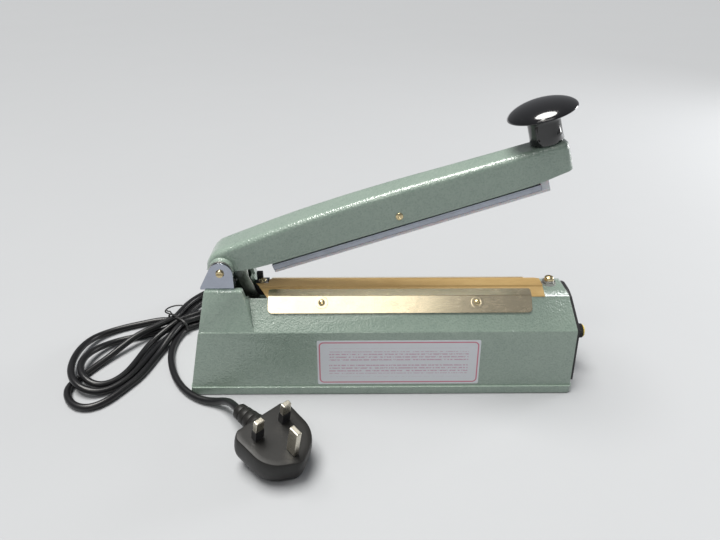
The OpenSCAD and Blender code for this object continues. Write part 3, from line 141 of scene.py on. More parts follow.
def makeMottle():
    # soft patches of two sizes, about 0.5
    group, given, result = newGroup("mottle", [("Place", "v", None), ("Size", "f", 0.01)], [("Value", "f")])
    scale = sums(group, "DIVIDE", 1.0, given["Size"])
    broad = noise(group, given["Place"], scale)
    fine = noise(group, given["Place"], sums(group, "MULTIPLY", scale, 6.0))
    total = sums(group, "ADD", sums(group, "MULTIPLY", broad, 0.65), sums(group, "MULTIPLY", fine, 0.35))
    group.links.new(total, result["Value"])
    return group


def makeHammer():
    # the rounded swells of a hammered enamel, as a height
    group, given, result = newGroup("hammer", [("Place", "v", None), ("Size", "f", 0.002)], [("Height", "f")])
    scale = sums(group, "DIVIDE", 1.0, given["Size"])
    cells = addNode(group, "ShaderNodeTexVoronoi", {
        "Vector": given["Place"], "Scale": scale, "Smoothness": 0.7}, feature="SMOOTH_F1")
    swell = noise(group, given["Place"], sums(group, "MULTIPLY", scale, 0.4), 2.0)
    fine = noise(group, given["Place"], sums(group, "MULTIPLY", scale, 2.2), 2.0)
    total = sums(group, "ADD", cells.outputs["Distance"], sums(group, "MULTIPLY", swell, 0.7))
    group.links.new(sums(group, "ADD", total, sums(group, "MULTIPLY", fine, 0.3)), result["Height"])
    return group


def makeSpecks():
    # scattered small dots and short hairs, as a mask
    group, given, result = newGroup(
        "specks", [("Place", "v", None), ("Size", "f", 0.004), ("Share", "f", 0.1)], [("Mask", "f")])
    scale = sums(group, "DIVIDE", 1.0, given["Size"])
    warp = addNode(group, "ShaderNodeTexNoise", {"Vector": given["Place"], "Scale": scale, "Detail": 2.0})
    bent = addNode(group, "ShaderNodeMix", {0: 0.004}, data_type="VECTOR")
    feed(group, bent.inputs[4], given["Place"])
    feed(group, bent.inputs[5], warp.outputs["Color"])
    cells = addNode(group, "ShaderNodeTexVoronoi", {"Vector": bent.outputs[1], "Scale": scale})
    dot = spread(group, cells.outputs["Distance"], 0.16, 0.08)
    chosen = sums(group, "LESS_THAN", addNode(group, "ShaderNodeSeparateColor", {
        "Color": cells.outputs["Color"]}).outputs[0], given["Share"])
    group.links.new(sums(group, "MULTIPLY", dot, chosen), result["Mask"])
    return group


def makeEdge():
    # where a surface turns sharply outwards or inwards
    group, given, result = newGroup("edge", [("Width", "f", 0.001)], [("Mask", "f")])
    rounded = addNode(group, "ShaderNodeBevel", {"Radius": given["Width"]}, samples=6)
    flat = addNode(group, "ShaderNodeNewGeometry")
    dot = addNode(group, "ShaderNodeVectorMath", {
        0: rounded.outputs[0], 1: flat.outputs["Normal"]}, operation="DOT_PRODUCT")
    group.links.new(spread(group, dot.outputs["Value"], 0.995, 0.88), result["Mask"])
    return group


def makeBrushed():
    # fine lines that run along x of the place it is given
    inputs = [("Place", "v", None), ("Fine", "f", 9000.0)]
    group, given, result = newGroup("brushed", inputs, [("Value", "f")])
    along = {0: given["Place"], 1: (0.012, 1.0, 1.0)}
    stretched = addNode(group, "ShaderNodeVectorMath", along, operation="MULTIPLY")
    lines = noise(group, stretched.outputs[0], given["Fine"], 4.0, 0.6)
    group.links.new(lines, result["Value"])
    return group


mottle, hammer, specks, edge, brushed = makeMottle(), makeHammer(), makeSpecks(), makeEdge(), makeBrushed()


def newMaterial(name, **constants):
    # a Principled material; the constants are set on the shader's own sockets
    material = bpy.data.materials.new(name)
    material.use_nodes = True
    tree = material.node_tree
    shader = tree.nodes["Principled BSDF"]
    for label, value in constants.items():
        feed(tree, shader.inputs[label.replace("_", " ")], value)
    place = tree.nodes.new("ShaderNodeTexCoord").outputs["Object"]
    return material, tree, shader.inputs, place


def bump(tree, inputs, height, depth, strength):
    node = addNode(tree, "ShaderNodeBump", {"Strength": strength, "Distance": depth, "Height": height})
    tree.links.new(node.outputs[0], inputs["Normal"])
    tree.links.new(node.outputs[0], inputs["Coat Normal"])


# finishes


def makeEnamel():
    e = {"colour": (0.220, 0.290, 0.243), "shade": (0.192, 0.260, 0.218), "blendTone": (0.40, 0.48, 0.41),
         "pits": 0.0014, "depth": 0.00038}
    material, tree, inputs, place = newMaterial("hammeredEnamel", Coat_Weight=0.9, Coat_Roughness=0.1)
    patches = useGroup(tree, mottle, Place=place, Size=0.03)["Value"]
    height = useGroup(tree, hammer, Place=place, Size=e["pits"])["Height"]
    rims = useGroup(tree, edge, Width=0.0013)["Mask"]
    colour = mixColour(tree, spread(tree, patches, 0.35, 0.65), e["shade"], e["colour"])
    # the hammer swells' crowns are mixed toward the paler tone
    colour = mixColour(tree, spread(tree, height, 0.5, 1.1, 0.0, 0.25), colour, e["blendTone"])
    # painted highlight along the casting's edges, mixed in with the paler tone
    colour = mixColour(tree, sums(tree, "MULTIPLY", rims, 0.22), colour, e["blendTone"])
    dirt = useGroup(tree, specks, Place=place, Size=0.006, Share=0.035)["Mask"]
    colour = mixColour(tree, sums(tree, "MULTIPLY", dirt, 0.5), colour, (0.10, 0.11, 0.09))
    feed(tree, inputs["Base Color"], colour)
    feed(tree, inputs["Roughness"], spread(tree, patches, 0.3, 0.7, 0.26, 0.36))
    bump(tree, inputs, height, e["depth"], 0.7)
    return material


def makePlainPlastic(name, colour, rough, grain=0.0008, depth=0.00004, **constants):
    material, tree, inputs, place = newMaterial(name, **constants)
    patches = useGroup(tree, mottle, Place=place, Size=0.012)["Value"]
    rims = useGroup(tree, edge, Width=0.0006)["Mask"]
    dust = useGroup(tree, specks, Place=place, Size=0.0025, Share=0.12)["Mask"]
    pale = [channel * 1.9 + 0.012 for channel in colour]
    tone = mixColour(tree, spread(tree, patches, 0.3, 0.7), [channel * 0.85 for channel in colour], colour)
    tone = mixColour(tree, sums(tree, "MULTIPLY", rims, 0.4), tone, pale)
    dusty = [channel * 2 + 0.05 for channel in colour]
    tone = mixColour(tree, sums(tree, "MULTIPLY", dust, 0.3), tone, dusty)
    feed(tree, inputs["Base Color"], tone)
    feed(tree, inputs["Roughness"], spread(tree, patches, 0.3, 0.7, rough * 0.9, rough * 1.15))
    bump(tree, inputs, noise(tree, place, 1 / grain, 3.0), depth, 0.6)
    return material


def makeMetal(name, colour, rough, tint=None, lines=0.15):
    # metal with fine lines, faint clouding and a painted dark reflection along its rims
    material, tree, inputs, place = newMaterial(name, Metallic=1.0)
    streaks = useGroup(tree, brushed, Place=place)["Value"]
    cloud = useGroup(tree, mottle, Place=place, Size=0.008)["Value"]
    rims = useGroup(tree, edge, Width=0.0005)["Mask"]
    cloudy = tint or [channel * 0.86 for channel in colour]
    paintedDarkRim = [channel * 0.6 for channel in colour]
    tone = mixColour(tree, spread(tree, cloud, 0.3, 0.7), colour, cloudy)
    # painted dark reflection: the rims are mixed toward a darker copy of the colour
    tone = mixColour(tree, sums(tree, "MULTIPLY", rims, 0.35), tone, paintedDarkRim)
    feed(tree, inputs["Base Color"], tone)
    level = sums(tree, "ADD", spread(tree, cloud, 0.3, 0.7, rough * 0.8, rough * 1.25),
                 spread(tree, streaks, 0.3, 0.7, 0.0, lines))
    feed(tree, inputs["Roughness"], level)
    bump(tree, inputs, streaks, 0.00002, lines)
    return material


def makeCloth():
    # woven glass cloth with a tan resin coat
    c = {"colour": (0.62, 0.425, 0.175), "dark": (0.50, 0.32, 0.115), "pitch": 0.0009}
    material, tree, inputs, place = newMaterial("tanGlassCloth", Coat_Weight=0.25, Coat_Roughness=0.3)
    twoPi = 2 * math.pi / c["pitch"]
    parts = addNode(tree, "ShaderNodeSeparateXYZ", {0: place}).outputs
    around = sums(tree, "ADD", parts[1], parts[2])
    warp = sums(tree, "SINE", sums(tree, "MULTIPLY", parts[0], twoPi))
    weft = sums(tree, "SINE", sums(tree, "MULTIPLY", around, twoPi))
    weave = spread(tree, sums(tree, "MULTIPLY", warp, weft), -1.0, 1.0)
    patches = useGroup(tree, mottle, Place=stretch(tree, place, (0.4, 1, 1)), Size=0.012)["Value"]
    tone = mixColour(tree, spread(tree, patches, 0.35, 0.65), c["dark"], c["colour"])
    tone = mixColour(tree, sums(tree, "MULTIPLY", weave, 0.25), tone, c["dark"])
    feed(tree, inputs["Base Color"], tone)
    feed(tree, inputs["Roughness"], spread(tree, patches, 0.3, 0.7, 0.34, 0.5))
    bump(tree, inputs, weave, 0.00006, 0.5)
    return material


enamel = makeEnamel()
cordRubber = makePlainPlastic("cordRubber", (0.008, 0.008, 0.009), 0.3, 0.0006, Specular_IOR_Level=0.42)
plugPlastic = makePlainPlastic(
    "plugPlastic", (0.013, 0.0125, 0.0115), 0.42, 0.0011, 0.00008, Specular_IOR_Level=0.3)
panelPlastic = makePlainPlastic("panelPlastic", (0.020, 0.020, 0.022), 0.5, 0.0009, 0.0001)
gripPlastic = makePlainPlastic("gripPlastic", (0.007, 0.007, 0.008), 0.12, 0.004, 0.00003, Coat_Weight=0.6)
knobPlastic = makePlainPlastic("knobPlastic", (0.022, 0.022, 0.024), 0.34)
blackPaint = makePlainPlastic("blackPaint", (0.022, 0.022, 0.024), 0.4, 0.0016, 0.00012)
capYellow = makePlainPlastic("capYellow", (0.66, 0.50, 0.06), 0.35)
siliconeWhite = makePlainPlastic(
    "siliconeWhite", (0.68, 0.69, 0.73), 0.5, 0.0014, 0.00006, Subsurface_Weight=0.15)
sleeveBlack = makePlainPlastic("sleeveBlack", (0.016, 0.016, 0.017), 0.3)
tiePlastic = makePlainPlastic("tiePlastic", (0.02, 0.02, 0.02), 0.35)
bushingPale = makePlainPlastic("bushingPale", (0.44, 0.44, 0.42), 0.4)
boardGreen = makePlainPlastic("boardGreen", (0.03, 0.16, 0.07), 0.35)
partsMixed = makePlainPlastic("partsMixed", (0.10, 0.13, 0.24), 0.35)
coilTape = makePlainPlastic("coilTape", (0.50, 0.36, 0.07), 0.45)
underlayGrey = makePlainPlastic("underlayGrey", (0.30, 0.28, 0.24), 0.7)
lampRed = makePlainPlastic("lampRed", (0.55, 0.03, 0.02), 0.15, Coat_Weight=0.5)
chrome = makeMetal("chrome", (0.43, 0.46, 0.53), 0.05, lines=0.03)
zinc = makeMetal("zinc", (0.66, 0.65, 0.61), 0.2)
brightSteel = makeMetal("brightSteel", (0.74, 0.76, 0.70), 0.28, lines=0.1)
brassy = makeMetal("brassyScrew", (0.72, 0.60, 0.36), 0.18)
plateSteel = makeMetal("plateSteel", (0.90, 0.79, 0.56), 0.16, (0.84, 0.73, 0.51), 0.12)
plugBrass = makeMetal("plugBrass", (0.66, 0.62, 0.52), 0.24, lines=0.1)
barAluminium = makeMetal("barAluminium", (0.42, 0.45, 0.51), 0.3, lines=0.2)
elementSteel = makeMetal("elementSteel", (0.55, 0.50, 0.46), 0.3)
coreSteel = makeMetal("coreSteel", (0.33, 0.32, 0.31), 0.4)
washerSteel = makeMetal("washerSteel", (0.62, 0.61, 0.58), 0.25)
clothTan = makeCloth()

finishes = {
    "casting_paint": enamel, "black_steel": blackPaint, "black_panel": panelPlastic, "zinc_screws": zinc,
    "lamp_red": lampRed, "board_green": boardGreen, "parts_mixed": partsMixed, "pot_metal": zinc,
    "core_steel": coreSteel, "coil_tape": coilTape, "switch_black": knobPlastic, "bright_steel": brightSteel,
    "chrome_bracket": chrome, "brass_screws": brassy, "washers": washerSteel, "bushing": bushingPale,
    "underlay": underlayGrey, "element": elementSteel, "cloth": clothTan, "plates": plateSteel,
    "black_rubber": cordRubber, "tie": tiePlastic, "plug_black": plugPlastic, "plug_brass": plugBrass,
    "sleeves": sleeveBlack, "handle_black": gripPlastic, "bar_metal": barAluminium,
    "silicone": siliconeWhite, "cap_yellow": capYellow}

for name, node in nodes.items():
    node.data.materials.clear()
    node.data.materials.append(finishes[slots[name]])
print("finishes made")

# shared mesh work; shapes are drawn in millimetres


def settle(bm, name, material, body, replaced=(), sharp=35):
    # turns a bmesh in millimetres into a finished piece
    bmesh.ops.scale(bm, vec=(mm,) * 3, verts=bm.verts)
    mesh = bpy.data.meshes.new(name)
    bm.to_mesh(mesh)
    bm.free()
    mesh.materials.append(material)
    piece = bpy.data.objects.new(name, mesh)
    bpy.context.scene.collection.objects.link(piece)
    mesh.shade_smooth()
    mesh.set_sharp_from_angle(angle=math.radians(sharp))
    register(piece, body, replaced)
    return piece


def register(piece, body, replaced=()):
    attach(piece, body)
    if replaced:
        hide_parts(*replaced)


def cleanUp(bm):
    bmesh.ops.remove_doubles(bm, verts=bm.verts, dist=0.001)
    bmesh.ops.recalc_face_normals(bm, faces=bm.faces)


def lathe(bm, profile, steps=48, frameTo=Matrix.Identity(4)):
    # turns (radius, height) points about z, then moves the shape
    before = set(bm.verts)
    points = [bm.verts.new((radius, 0, height)) for radius, height in profile]
    lines = [bm.edges.new(pair) for pair in zip(points, points[1:])]
    bmesh.ops.spin(bm, geom=points + lines, axis=(0, 0, 1), cent=(0, 0, 0),
                   angle=2 * math.pi, steps=steps, use_merge=True)
    bmesh.ops.transform(bm, matrix=frameTo, verts=[vert for vert in bm.verts if vert not in before])


def bevelModifier(piece, width, segments, angle=30):
    modifier = piece.modifiers.new("softEdges", "BEVEL")
    modifier.width = width * mm
    modifier.segments = segments
    modifier.limit_method = "ANGLE"
    modifier.angle_limit = math.radians(angle)
    modifier.harden_normals = True


def copyNode(node):
    # a CAD node's mesh as clean faces, in millimetres
    bm = bmesh.new()
    bm.from_mesh(nodes[node].data)
    bmesh.ops.scale(bm, vec=(1 / mm,) * 3, verts=bm.verts)
    bmesh.ops.remove_doubles(bm, verts=bm.verts, dist=0.002)
    bmesh.ops.dissolve_limit(bm, angle_limit=math.radians(0.6), verts=bm.verts, edges=bm.edges)
    return bm


# mains lead

lead = {"radius": 2.8, "exit": (-100, 65, 22), "backHeights": (9.2, 3.2, 3.2), "evening": 14}
leadTail = [(-100, 65, 22), (-101, 77, 20), (-108, 87, 17), (-119, 91.5, 14), (-131, 87, 12),
            (-137, 81.5, 10.5), (-143, 76, 9.8), (-152, 67.5, 9.2), (-161, 59.5, 9), (-170, 53, 9),
            (-178.2, 48.4, 9.2)]
outerTurn = [(-177, 48.4, 9.2), (-183, 34, 8.7), (-187, 22, 5.5), (-190, 9, 3), (-193, -6, 3),
             (-196, -20, 3), (-202, -32, 3), (-208, -43, 3), (-215, -53, 3), (-226, -58, 3), (-238, -53, 3),
             (-246, -43, 3), (-249, -32, 3), (-244, -21, 3), (-238, -9, 3), (-230, 5, 4), (-221, 19, 7),
             (-212, 31, 9), (-202.5, 40, 9.2), (-194.5, 48.5, 9.2), (-187.8, 55.6, 9.2)]
middleTurn = [(-183, 52, 9.2), (-190.5, 40.5, 7.6), (-200, 28, 4), (-204, 12, 3), (-206, -3, 3),
              (-209, -17, 3), (-216, -28.5, 3), (-226, -34, 5), (-237, -29, 8), (-245, -18, 9),
              (-248, -4, 9), (-245, 11, 6.5), (-236, 24, 4), (-223, 32, 3), (-208, 37.5, 3), (-197, 44, 3),
              (-189, 50, 3.2), (-185.4, 53.8, 3.6)]
innerTurn = [(-180.6, 50.2, 3.6), (-187, 37, 3), (-193, 22, 3), (-197, 6, 3), (-200, -8, 3), (-204, -21, 3),
             (-211, -33, 3), (-221, -41, 4), (-233, -41, 7), (-244, -33, 9), (-252, -20, 9), (-256, -4, 9),
             (-257, 14, 7.5), (-254, 30, 5), (-245, 41, 3.5), (-231, 50, 3), (-216, 56, 3), (-205, 60.5, 3),
             (-198, 60, 3.3), (-192.5, 61, 3.5)]
backTurns = [[(-185.5, 67), (-182, 79), (-176, 91), (-168, 101), (-158, 106), (-148, 104), (-143, 95),
              (-145.5, 84), (-154, 74), (-164, 65.5), (-173.5, 58.5)],
             [(-182.5, 65), (-179.5, 77), (-174.5, 90), (-168, 101), (-159, 109), (-149, 112.3), (-141, 106),
              (-138.5, 97), (-142, 87), (-151, 76), (-162, 65), (-173, 56)],
             [(-189.5, 69), (-186, 80), (-181, 93), (-174, 106), (-163, 116), (-149, 119), (-137, 112),
              (-132, 99), (-136, 85), (-146, 72), (-158, 60), (-168, 51)]]
leadEnd = [(-175.8, 46.6, 3.6), (-179, 37, 3), (-181, 25, 3), (-180, 11, 3), (-176, -3, 3), (-170, -17, 3),
           (-162, -30, 3), (-152, -41, 3), (-140, -49, 3), (-128, -52.5, 4.5), (-119, -57, 9),
           (-112, -65, 14), (-105, -76.6, 18.6), (-98.5, -83, 19.2)]


def leadPoints():
    back = [[(x, y, z) for x, y in turn] for turn, z in zip(backTurns, lead["backHeights"])]
    return leadTail + outerTurn[1:] + back[0] + middleTurn + back[1] + innerTurn + back[2] + leadEnd


def smoothPath(points, steps=6):
    # a Catmull-Rom curve through the points
    points = [Vector(point) for point in points]
    padded = [points[0] * 2 - points[1], *points, points[-1] * 2 - points[-2]]
    path = []
    for a, b, c, d in zip(padded, padded[1:], padded[2:], padded[3:]):
        for step in range(steps):
            t = step / steps
            path.append((b * 2 + (c - a) * t + (a * 2 - b * 5 + c * 4 - d) * t * t
                         + (b * 3 - a - c * 3 + d) * t ** 3) / 2)
    return path + [points[-1]]


def eased(path, passes):
    # evens out the bends, with both ends kept
    for _ in range(passes):
        path = [path[0], *((a + b * 2 + c) / 4 for a, b, c in zip(path, path[1:], path[2:])), path[-1]]
    return path


def curvePiece(name, path, radius, material, ringSteps=6):
    data = bpy.data.curves.new(name, "CURVE")
    data.dimensions = "3D"
    data.bevel_depth = radius * mm
    data.bevel_resolution = ringSteps
    data.use_fill_caps = True
    spline = data.splines.new("POLY")
    spline.points.add(len(path) - 1)
    for point, place in zip(spline.points, path):
        point.co = (*(place * mm), 1)
    spline.use_smooth = True
    data.materials.append(material)
    piece = bpy.data.objects.new(name, data)
    bpy.context.scene.collection.objects.link(piece)
    return piece


leadPath = eased(smoothPath(leadPoints()), lead["evening"])
leadCurve = curvePiece("mains_lead", leadPath, lead["radius"], cordRubber)
register(leadCurve, "base", ("cord_tail", "cord_hank", "cord_loops", "cord_lead"))

# shared places, in millimetres


def box(node):
    corners = [nodes[node].matrix_world @ vert.co / mm for vert in nodes[node].data.vertices]
    return [[pick(corner[axis] for corner in corners) for axis in range(3)] for pick in (min, max)]


def onAxis(place, direction):
    # a frame whose z runs along a direction
    return Matrix.Translation(place) @ Vector(direction).to_track_quat("Z", "Y").to_matrix().to_4x4()


def ringFaces(bm, rings, closed=True):
    # joins rings of points into a skin with an end at each side
    loops = [[bm.verts.new(point) for point in ring] for ring in rings]
    for first, second in zip(loops, loops[1:]):
        count = len(first)
        for k in range(count if closed else count - 1):
            after = (k + 1) % count
            bm.faces.new((first[k], first[after], second[after], second[k]))
    bm.faces.new(loops[0][::-1])
    bm.faces.new(loops[-1])


def addBox(bm, low, high, frameTo=Matrix.Identity(4)):
    made = bmesh.ops.create_cube(bm, size=1)["verts"]
    middle = (Vector(low) + Vector(high)) / 2
    spans = Matrix.Diagonal((*(Vector(high) - Vector(low)), 1))
    bmesh.ops.transform(bm, matrix=frameTo @ Matrix.Translation(middle) @ spans, verts=made)


def softCopy(node, width):
    # a CAD node again, with its edges softened
    slot = slots[node]
    piece = settle(copyNode(node), node + "_soft", finishes[slot], bodies[node], (node,))
    bevelModifier(piece, width, 2)
    return piece


# castings; armTop and armLow are (along, up) from the hinge in the arm's own frame

arm = {"hinge": (-119.5, 0, 99.7), "open": 18.2, "length": 261, "tail": 12.5, "half": 14.6, "taper": 3,
       "round": 4.2, "least": 0.6, "wall": 2.8, "endRound": 5.2, "tuckStart": -4, "tuckIn": 5,
       "face": 20.5, "pivot": (136.9, -1.8), "handleIn": 12.5}
armTop = [(-12.5, 1.6), (-11.75, 4.6), (-10.25, 6.5), (-7.9, 8.8), (-5, 10.9), (-1.75, 12.5), (1, 13.2),
          (15.7, 14.2), (26, 14.8), (47, 16.2), (68, 17.1), (104, 17.6), (143.5, 17.2), (180, 16),
          (216.6, 15), (237.5, 14.6), (261, 14.2)]
armLow = [(-12.5, 0.6), (-11.25, -2.6), (-9, -4.2), (-5, -5), (9, -5.4), (19.6, -7.4), (39, -8.3),
          (96.6, -8.6), (135.7, -8.9), (172.3, -9.3), (229.7, -9.4), (237.5, -9.2), (248, -7.9),
          (255.8, -7.1), (261, -6.5)]
toArm = Matrix.Translation(arm["hinge"]) @ Matrix.Rotation(-math.radians(arm["open"]), 4, "Y")


def along(s, points):
    for (a, low), (b, high) in zip(points, points[1:]):
        if s <= b:
            return low + (high - low) * max(0, s - a) / (b - a)
    return points[-1][1]


def softly(s, points, reach=6):
    # the outline with its corners eased, away from the arm's two ends
    reach = min(reach, max(0, s - 8), max(0, arm["length"] - s))
    return sum(along(s + reach * k / 3, points) for k in range(-3, 4)) / 7


def armHalf(s):
    start = arm["tuckStart"]
    turn = math.pi / 2 * max(0, start - s) / (arm["tail"] + start)
    return arm["half"] - arm["taper"] * max(0, s) / arm["length"] - arm["tuckIn"] * (1 - math.cos(turn))


def armRing(s, steps=7):
    past = max(0, (s - arm["length"] + arm["endRound"]) / arm["endRound"])
    tuck = arm["endRound"] * (1 - math.sqrt(1 - past * past))
    half, top, low = armHalf(s) - tuck, softly(s, armTop) - tuck * 0.7, softly(s, armLow)
    r = max(arm["least"], min(arm["round"], (top - low) * 0.7))
    arc = [(half - r + r * math.cos(math.pi / 2 * k / steps), top - r + r * math.sin(math.pi / 2 * k / steps))
           for k in range(steps + 1)]
    side = [(half, low), (half, low + arm["least"]), (half, (low + top - r) / 2)] + arc + [(half * 0.4, top)]
    outline = [(-y, t) for y, t in side] + side[::-1]
    return [toArm @ Vector((s, y, t)) for y, t in outline]


def makeArmShell():
    a, bm = arm, bmesh.new()
    v = {"tailStep": 0.75, "tailRings": 12, "bodyStep": 4, "bodyRings": 64, "endRings": 8, "soft": 0.5}
    tail = [-a["tail"] + k * v["tailStep"] for k in range(v["tailRings"])]
    body = [k * v["bodyStep"] for k in range(v["bodyRings"])]
    end = [a["length"] - a["endRound"] * (1 - math.sin(math.pi / 2 * k / v["endRings"]))
           for k in range(v["endRings"] + 1)]
    stations = sorted(set(tail + [s for s in body if s > tail[-1]] + end))
    ringFaces(bm, [armRing(s) for s in stations], closed=False)
    bmesh.ops.recalc_face_normals(bm, faces=bm.faces)
    if max(bm.faces, key=lambda face: face.calc_center_median().z).normal.z < 0:
        bmesh.ops.reverse_faces(bm, faces=bm.faces)
    piece = settle(bm, "arm_shell", enamel, "arm", ("arm_casting",), 40)
    modifier = piece.modifiers.new("wall", "SOLIDIFY")
    modifier.thickness = a["wall"] * mm
    modifier.offset = -1
    bevelModifier(piece, v["soft"], 2, 50)


def makeArmInside():
    # bosses at the hinge, tubes at the bar's pivot, ribs, the lever's pad and the handle's boss
    v = {"bore": 4.06, "boss": 9.2, "start": 12, "chamfer": 0.4, "groove": 0.3, "groovePlace": (4, 2.8),
         "washers": 1, "collar": 6.05, "collarStart": 11, "pinBore": 2.05, "tube": 4.5, "tubeIn": 1.5,
         "bar": 6.5, "ribs": (80, 195), "ribThick": 2.4, "ribLow": 3, "bite": 0.3,
         "pad": ((17, -4, -1), (34, 2)), "boltBore": 3.1, "boltBoss": 7, "bossLow": 3,
         "seat": 7.4, "seatLow": -1, "seatHigh": 0.4}
    a, bm = arm, bmesh.new()
    far, (s, t) = a["face"] - v["washers"], a["pivot"]
    wide, slim, soft = v["boss"], v["boss"] - v["groove"], v["chamfer"]
    deep, shallow = (a["face"] - gap for gap in v["groovePlace"])
    boss = [(v["bore"], v["start"]), (wide - 0.1, v["start"]), (wide, v["start"] + 0.2), (wide, deep),
            (slim, deep + soft), (slim, shallow - soft), (wide, shallow), (wide, far - soft),
            (wide - soft, far), (v["bore"], far), (v["bore"], v["start"])]
    back, ring = v["collarStart"], v["collar"]
    collar = [(v["bore"], back), (ring, back), (ring, v["start"] + soft)]
    tube = [(v["pinBore"], v["bar"]), (v["tube"], v["bar"]), (v["tube"], armHalf(s) - v["tubeIn"])]
    for side in (-1, 1):
        outward = Matrix.Rotation(-side * math.pi / 2, 4, "X")
        lathe(bm, boss, 64, toArm @ outward)
        lathe(bm, collar, 32, toArm @ outward)
        lathe(bm, tube, 32, toArm @ Matrix.Translation((s, 0, t)) @ outward)

    def under(station):
        return along(station, armTop) - a["wall"] + v["bite"]

    for rib in v["ribs"]:
        reach = armHalf(rib) - a["wall"] + v["bite"]
        addBox(bm, (rib, -reach, v["ribLow"]), (rib + v["ribThick"], reach, under(rib)), toArm)
    padLow, padFar = v["pad"]
    addBox(bm, padLow, (*padFar, under(padLow[0])), toArm)
    handle = a["length"] - a["handleIn"]
    high = along(handle, armTop)
    upright = toArm @ Matrix.Translation((handle, 0, 0))
    bore, low, bottom, top = v["boltBore"], v["bossLow"], high + v["seatLow"], high + v["seatHigh"]
    lathe(bm, [(bore, low), (v["boltBoss"], low), (v["boltBoss"], bottom)], 32, upright)
    lathe(bm, [(v["seat"], bottom), (v["seat"], top), (bore, top)], 48, upright)
    settle(bm, "arm_bosses", enamel, "arm", ("arm_casting",), 40)


def makeBaseShell():
    # the casting with its long outer edges rounded
    b = {"soft": 1.5, "segments": 4, "shortest": 7.0, "foot": 2.5, "turn": 25}
    bm = copyNode("base_casting")

    def outside(line):
        middle = (line.verts[0].co + line.verts[1].co) / 2
        if len(line.link_faces) != 2 or not line.is_convex or middle.z <= b["foot"]:
            return False
        return line.calc_length() > b["shortest"] and line.calc_face_angle(0) > math.radians(b["turn"])

    edges = [line for line in bm.edges if outside(line)]
    bmesh.ops.bevel(bm, geom=edges, offset=b["soft"], offset_type="OFFSET", segments=b["segments"],
                    profile=0.5, affect="EDGES", clamp_overlap=True, material=-1)
    settle(bm, "base_shell", enamel, "base", ("base_casting",), 50)


makeBaseShell()
makeArmShell()
makeArmInside()
print("castings made")

# hinge washers


def makeHingeWashers():
    v = {"bore": 4.1, "rings": ((1, 0.55, 8.2), (0.5, 0, 8.8)), "soft": (0.15, 0.12)}
    bm = bmesh.new()
    acrossSoft, alongSoft = v["soft"]
    for side in (-1, 1):
        outward = toArm @ Matrix.Rotation(-side * math.pi / 2, 4, "X")
        for nearGap, farGap, wide in v["rings"]:
            near, far = arm["face"] - nearGap, arm["face"] - farGap
            profile = [(v["bore"], near), (wide - acrossSoft, near), (wide, near + alongSoft),
                       (wide, far - alongSoft), (wide - acrossSoft, far), (v["bore"], far), (v["bore"], near)]
            lathe(bm, profile, 48, outward)
    cleanUp(bm)
    settle(bm, "hinge_washers", zinc, "arm")


makeHingeWashers()

# handle


def makeHandle():
    # a waisted neck that flows into a lens-shaped cap
    h = {"bore": 3.1, "neck": 11.5, "foot": 0.4, "waist": 11.1, "waistHigh": 6, "fillet": 4.4, "filletOut": 4,
         "filletDrop": 6.6, "underStart": 15.2, "rim": 23.4, "rimHigh": 20.9, "dome": 7.8, "under": 2.6,
         "fullness": 0.62, "seat": 0.42}
    bm = bmesh.new()

    def lens(x, rise):
        return rise * (1 - (x / h["rim"]) ** 2) ** h["fullness"]

    centre = (h["neck"] + h["filletOut"], h["rimHigh"] - h["filletDrop"])
    fillet = [(centre[0] - h["fillet"] * math.cos(math.radians(a)),
               centre[1] + h["fillet"] * math.sin(math.radians(a))) for a in range(0, 76, 10)]
    reaches = [h["rim"] * math.sin(math.pi / 2 * k / 22) for k in range(23)]
    under = [(x, h["rimHigh"] - lens(x, h["under"])) for x in reaches if x > h["underStart"]]
    dome = [(x, h["rimHigh"] + lens(x, h["dome"])) for x in reaches[-2::-1]]
    foot = [(h["bore"], 0), (h["neck"] - h["foot"], 0), (h["neck"], h["foot"]), (h["waist"], h["waistHigh"])]
    s = arm["length"] - arm["handleIn"]
    upright = toArm @ Matrix.Translation((s, 0, along(s, armTop) + h["seat"]))
    lathe(bm, foot + fillet + under + dome, 96, upright)
    cleanUp(bm)
    settle(bm, "handle_grip", gripPlastic, "arm", ("handle_knob",), 50)


makeHandle()


def crown(wide, tall, edge, start):
    # the rounded top of a screw's head, from an angle out to its rim
    return [(wide * math.sin(math.radians(a)), tall * (edge + (1 - edge) * math.cos(math.radians(a))))
            for a in range(start, 91, 10)]


def makePivotPin():
    # the pin the bar rocks on, with a domed and dimpled head at each side
    v = {"radius": 2.0, "head": 2.7, "dome": 1.05, "dimple": 0.9, "gap": 0.03}
    s, t = arm["pivot"]
    side = armHalf(s)
    bm = bmesh.new()
    dimple = [(0, v["dome"] - 0.35), (v["dimple"], v["dome"] - 0.3), (v["dimple"] + 0.25, v["dome"])]
    shank = [(v["head"], v["gap"]), (v["radius"], v["gap"]), (v["radius"], -side), (0, -side)]
    profile = dimple + crown(v["head"], v["dome"], 0.35, 40) + shank
    for way in (1, -1):
        lathe(bm, profile, 40, toArm @ onAxis((s, way * side, t), (0, way, 0)))
    cleanUp(bm)
    settle(bm, "pivot_pin_heads", brassy, "arm", ("bar_pivot_pin",))


makePivotPin()
print("handle turned")

# bright parts with soft edges

for node, width in (("hinge_bracket", 0.3), ("front_clamp_plate", 0.25), ("rear_clamp_plate", 0.25),
                    ("end_panel", 0.5), ("actuator_lever", 0.2), ("bottom_cover", 0.3),
                    ("microswitch", 0.4), ("transformer_coil", 1.0), ("transformer_core", 0.3)):
    softCopy(node, width)
print("edges softened")

# terminals, pressure bar and the plates' screws


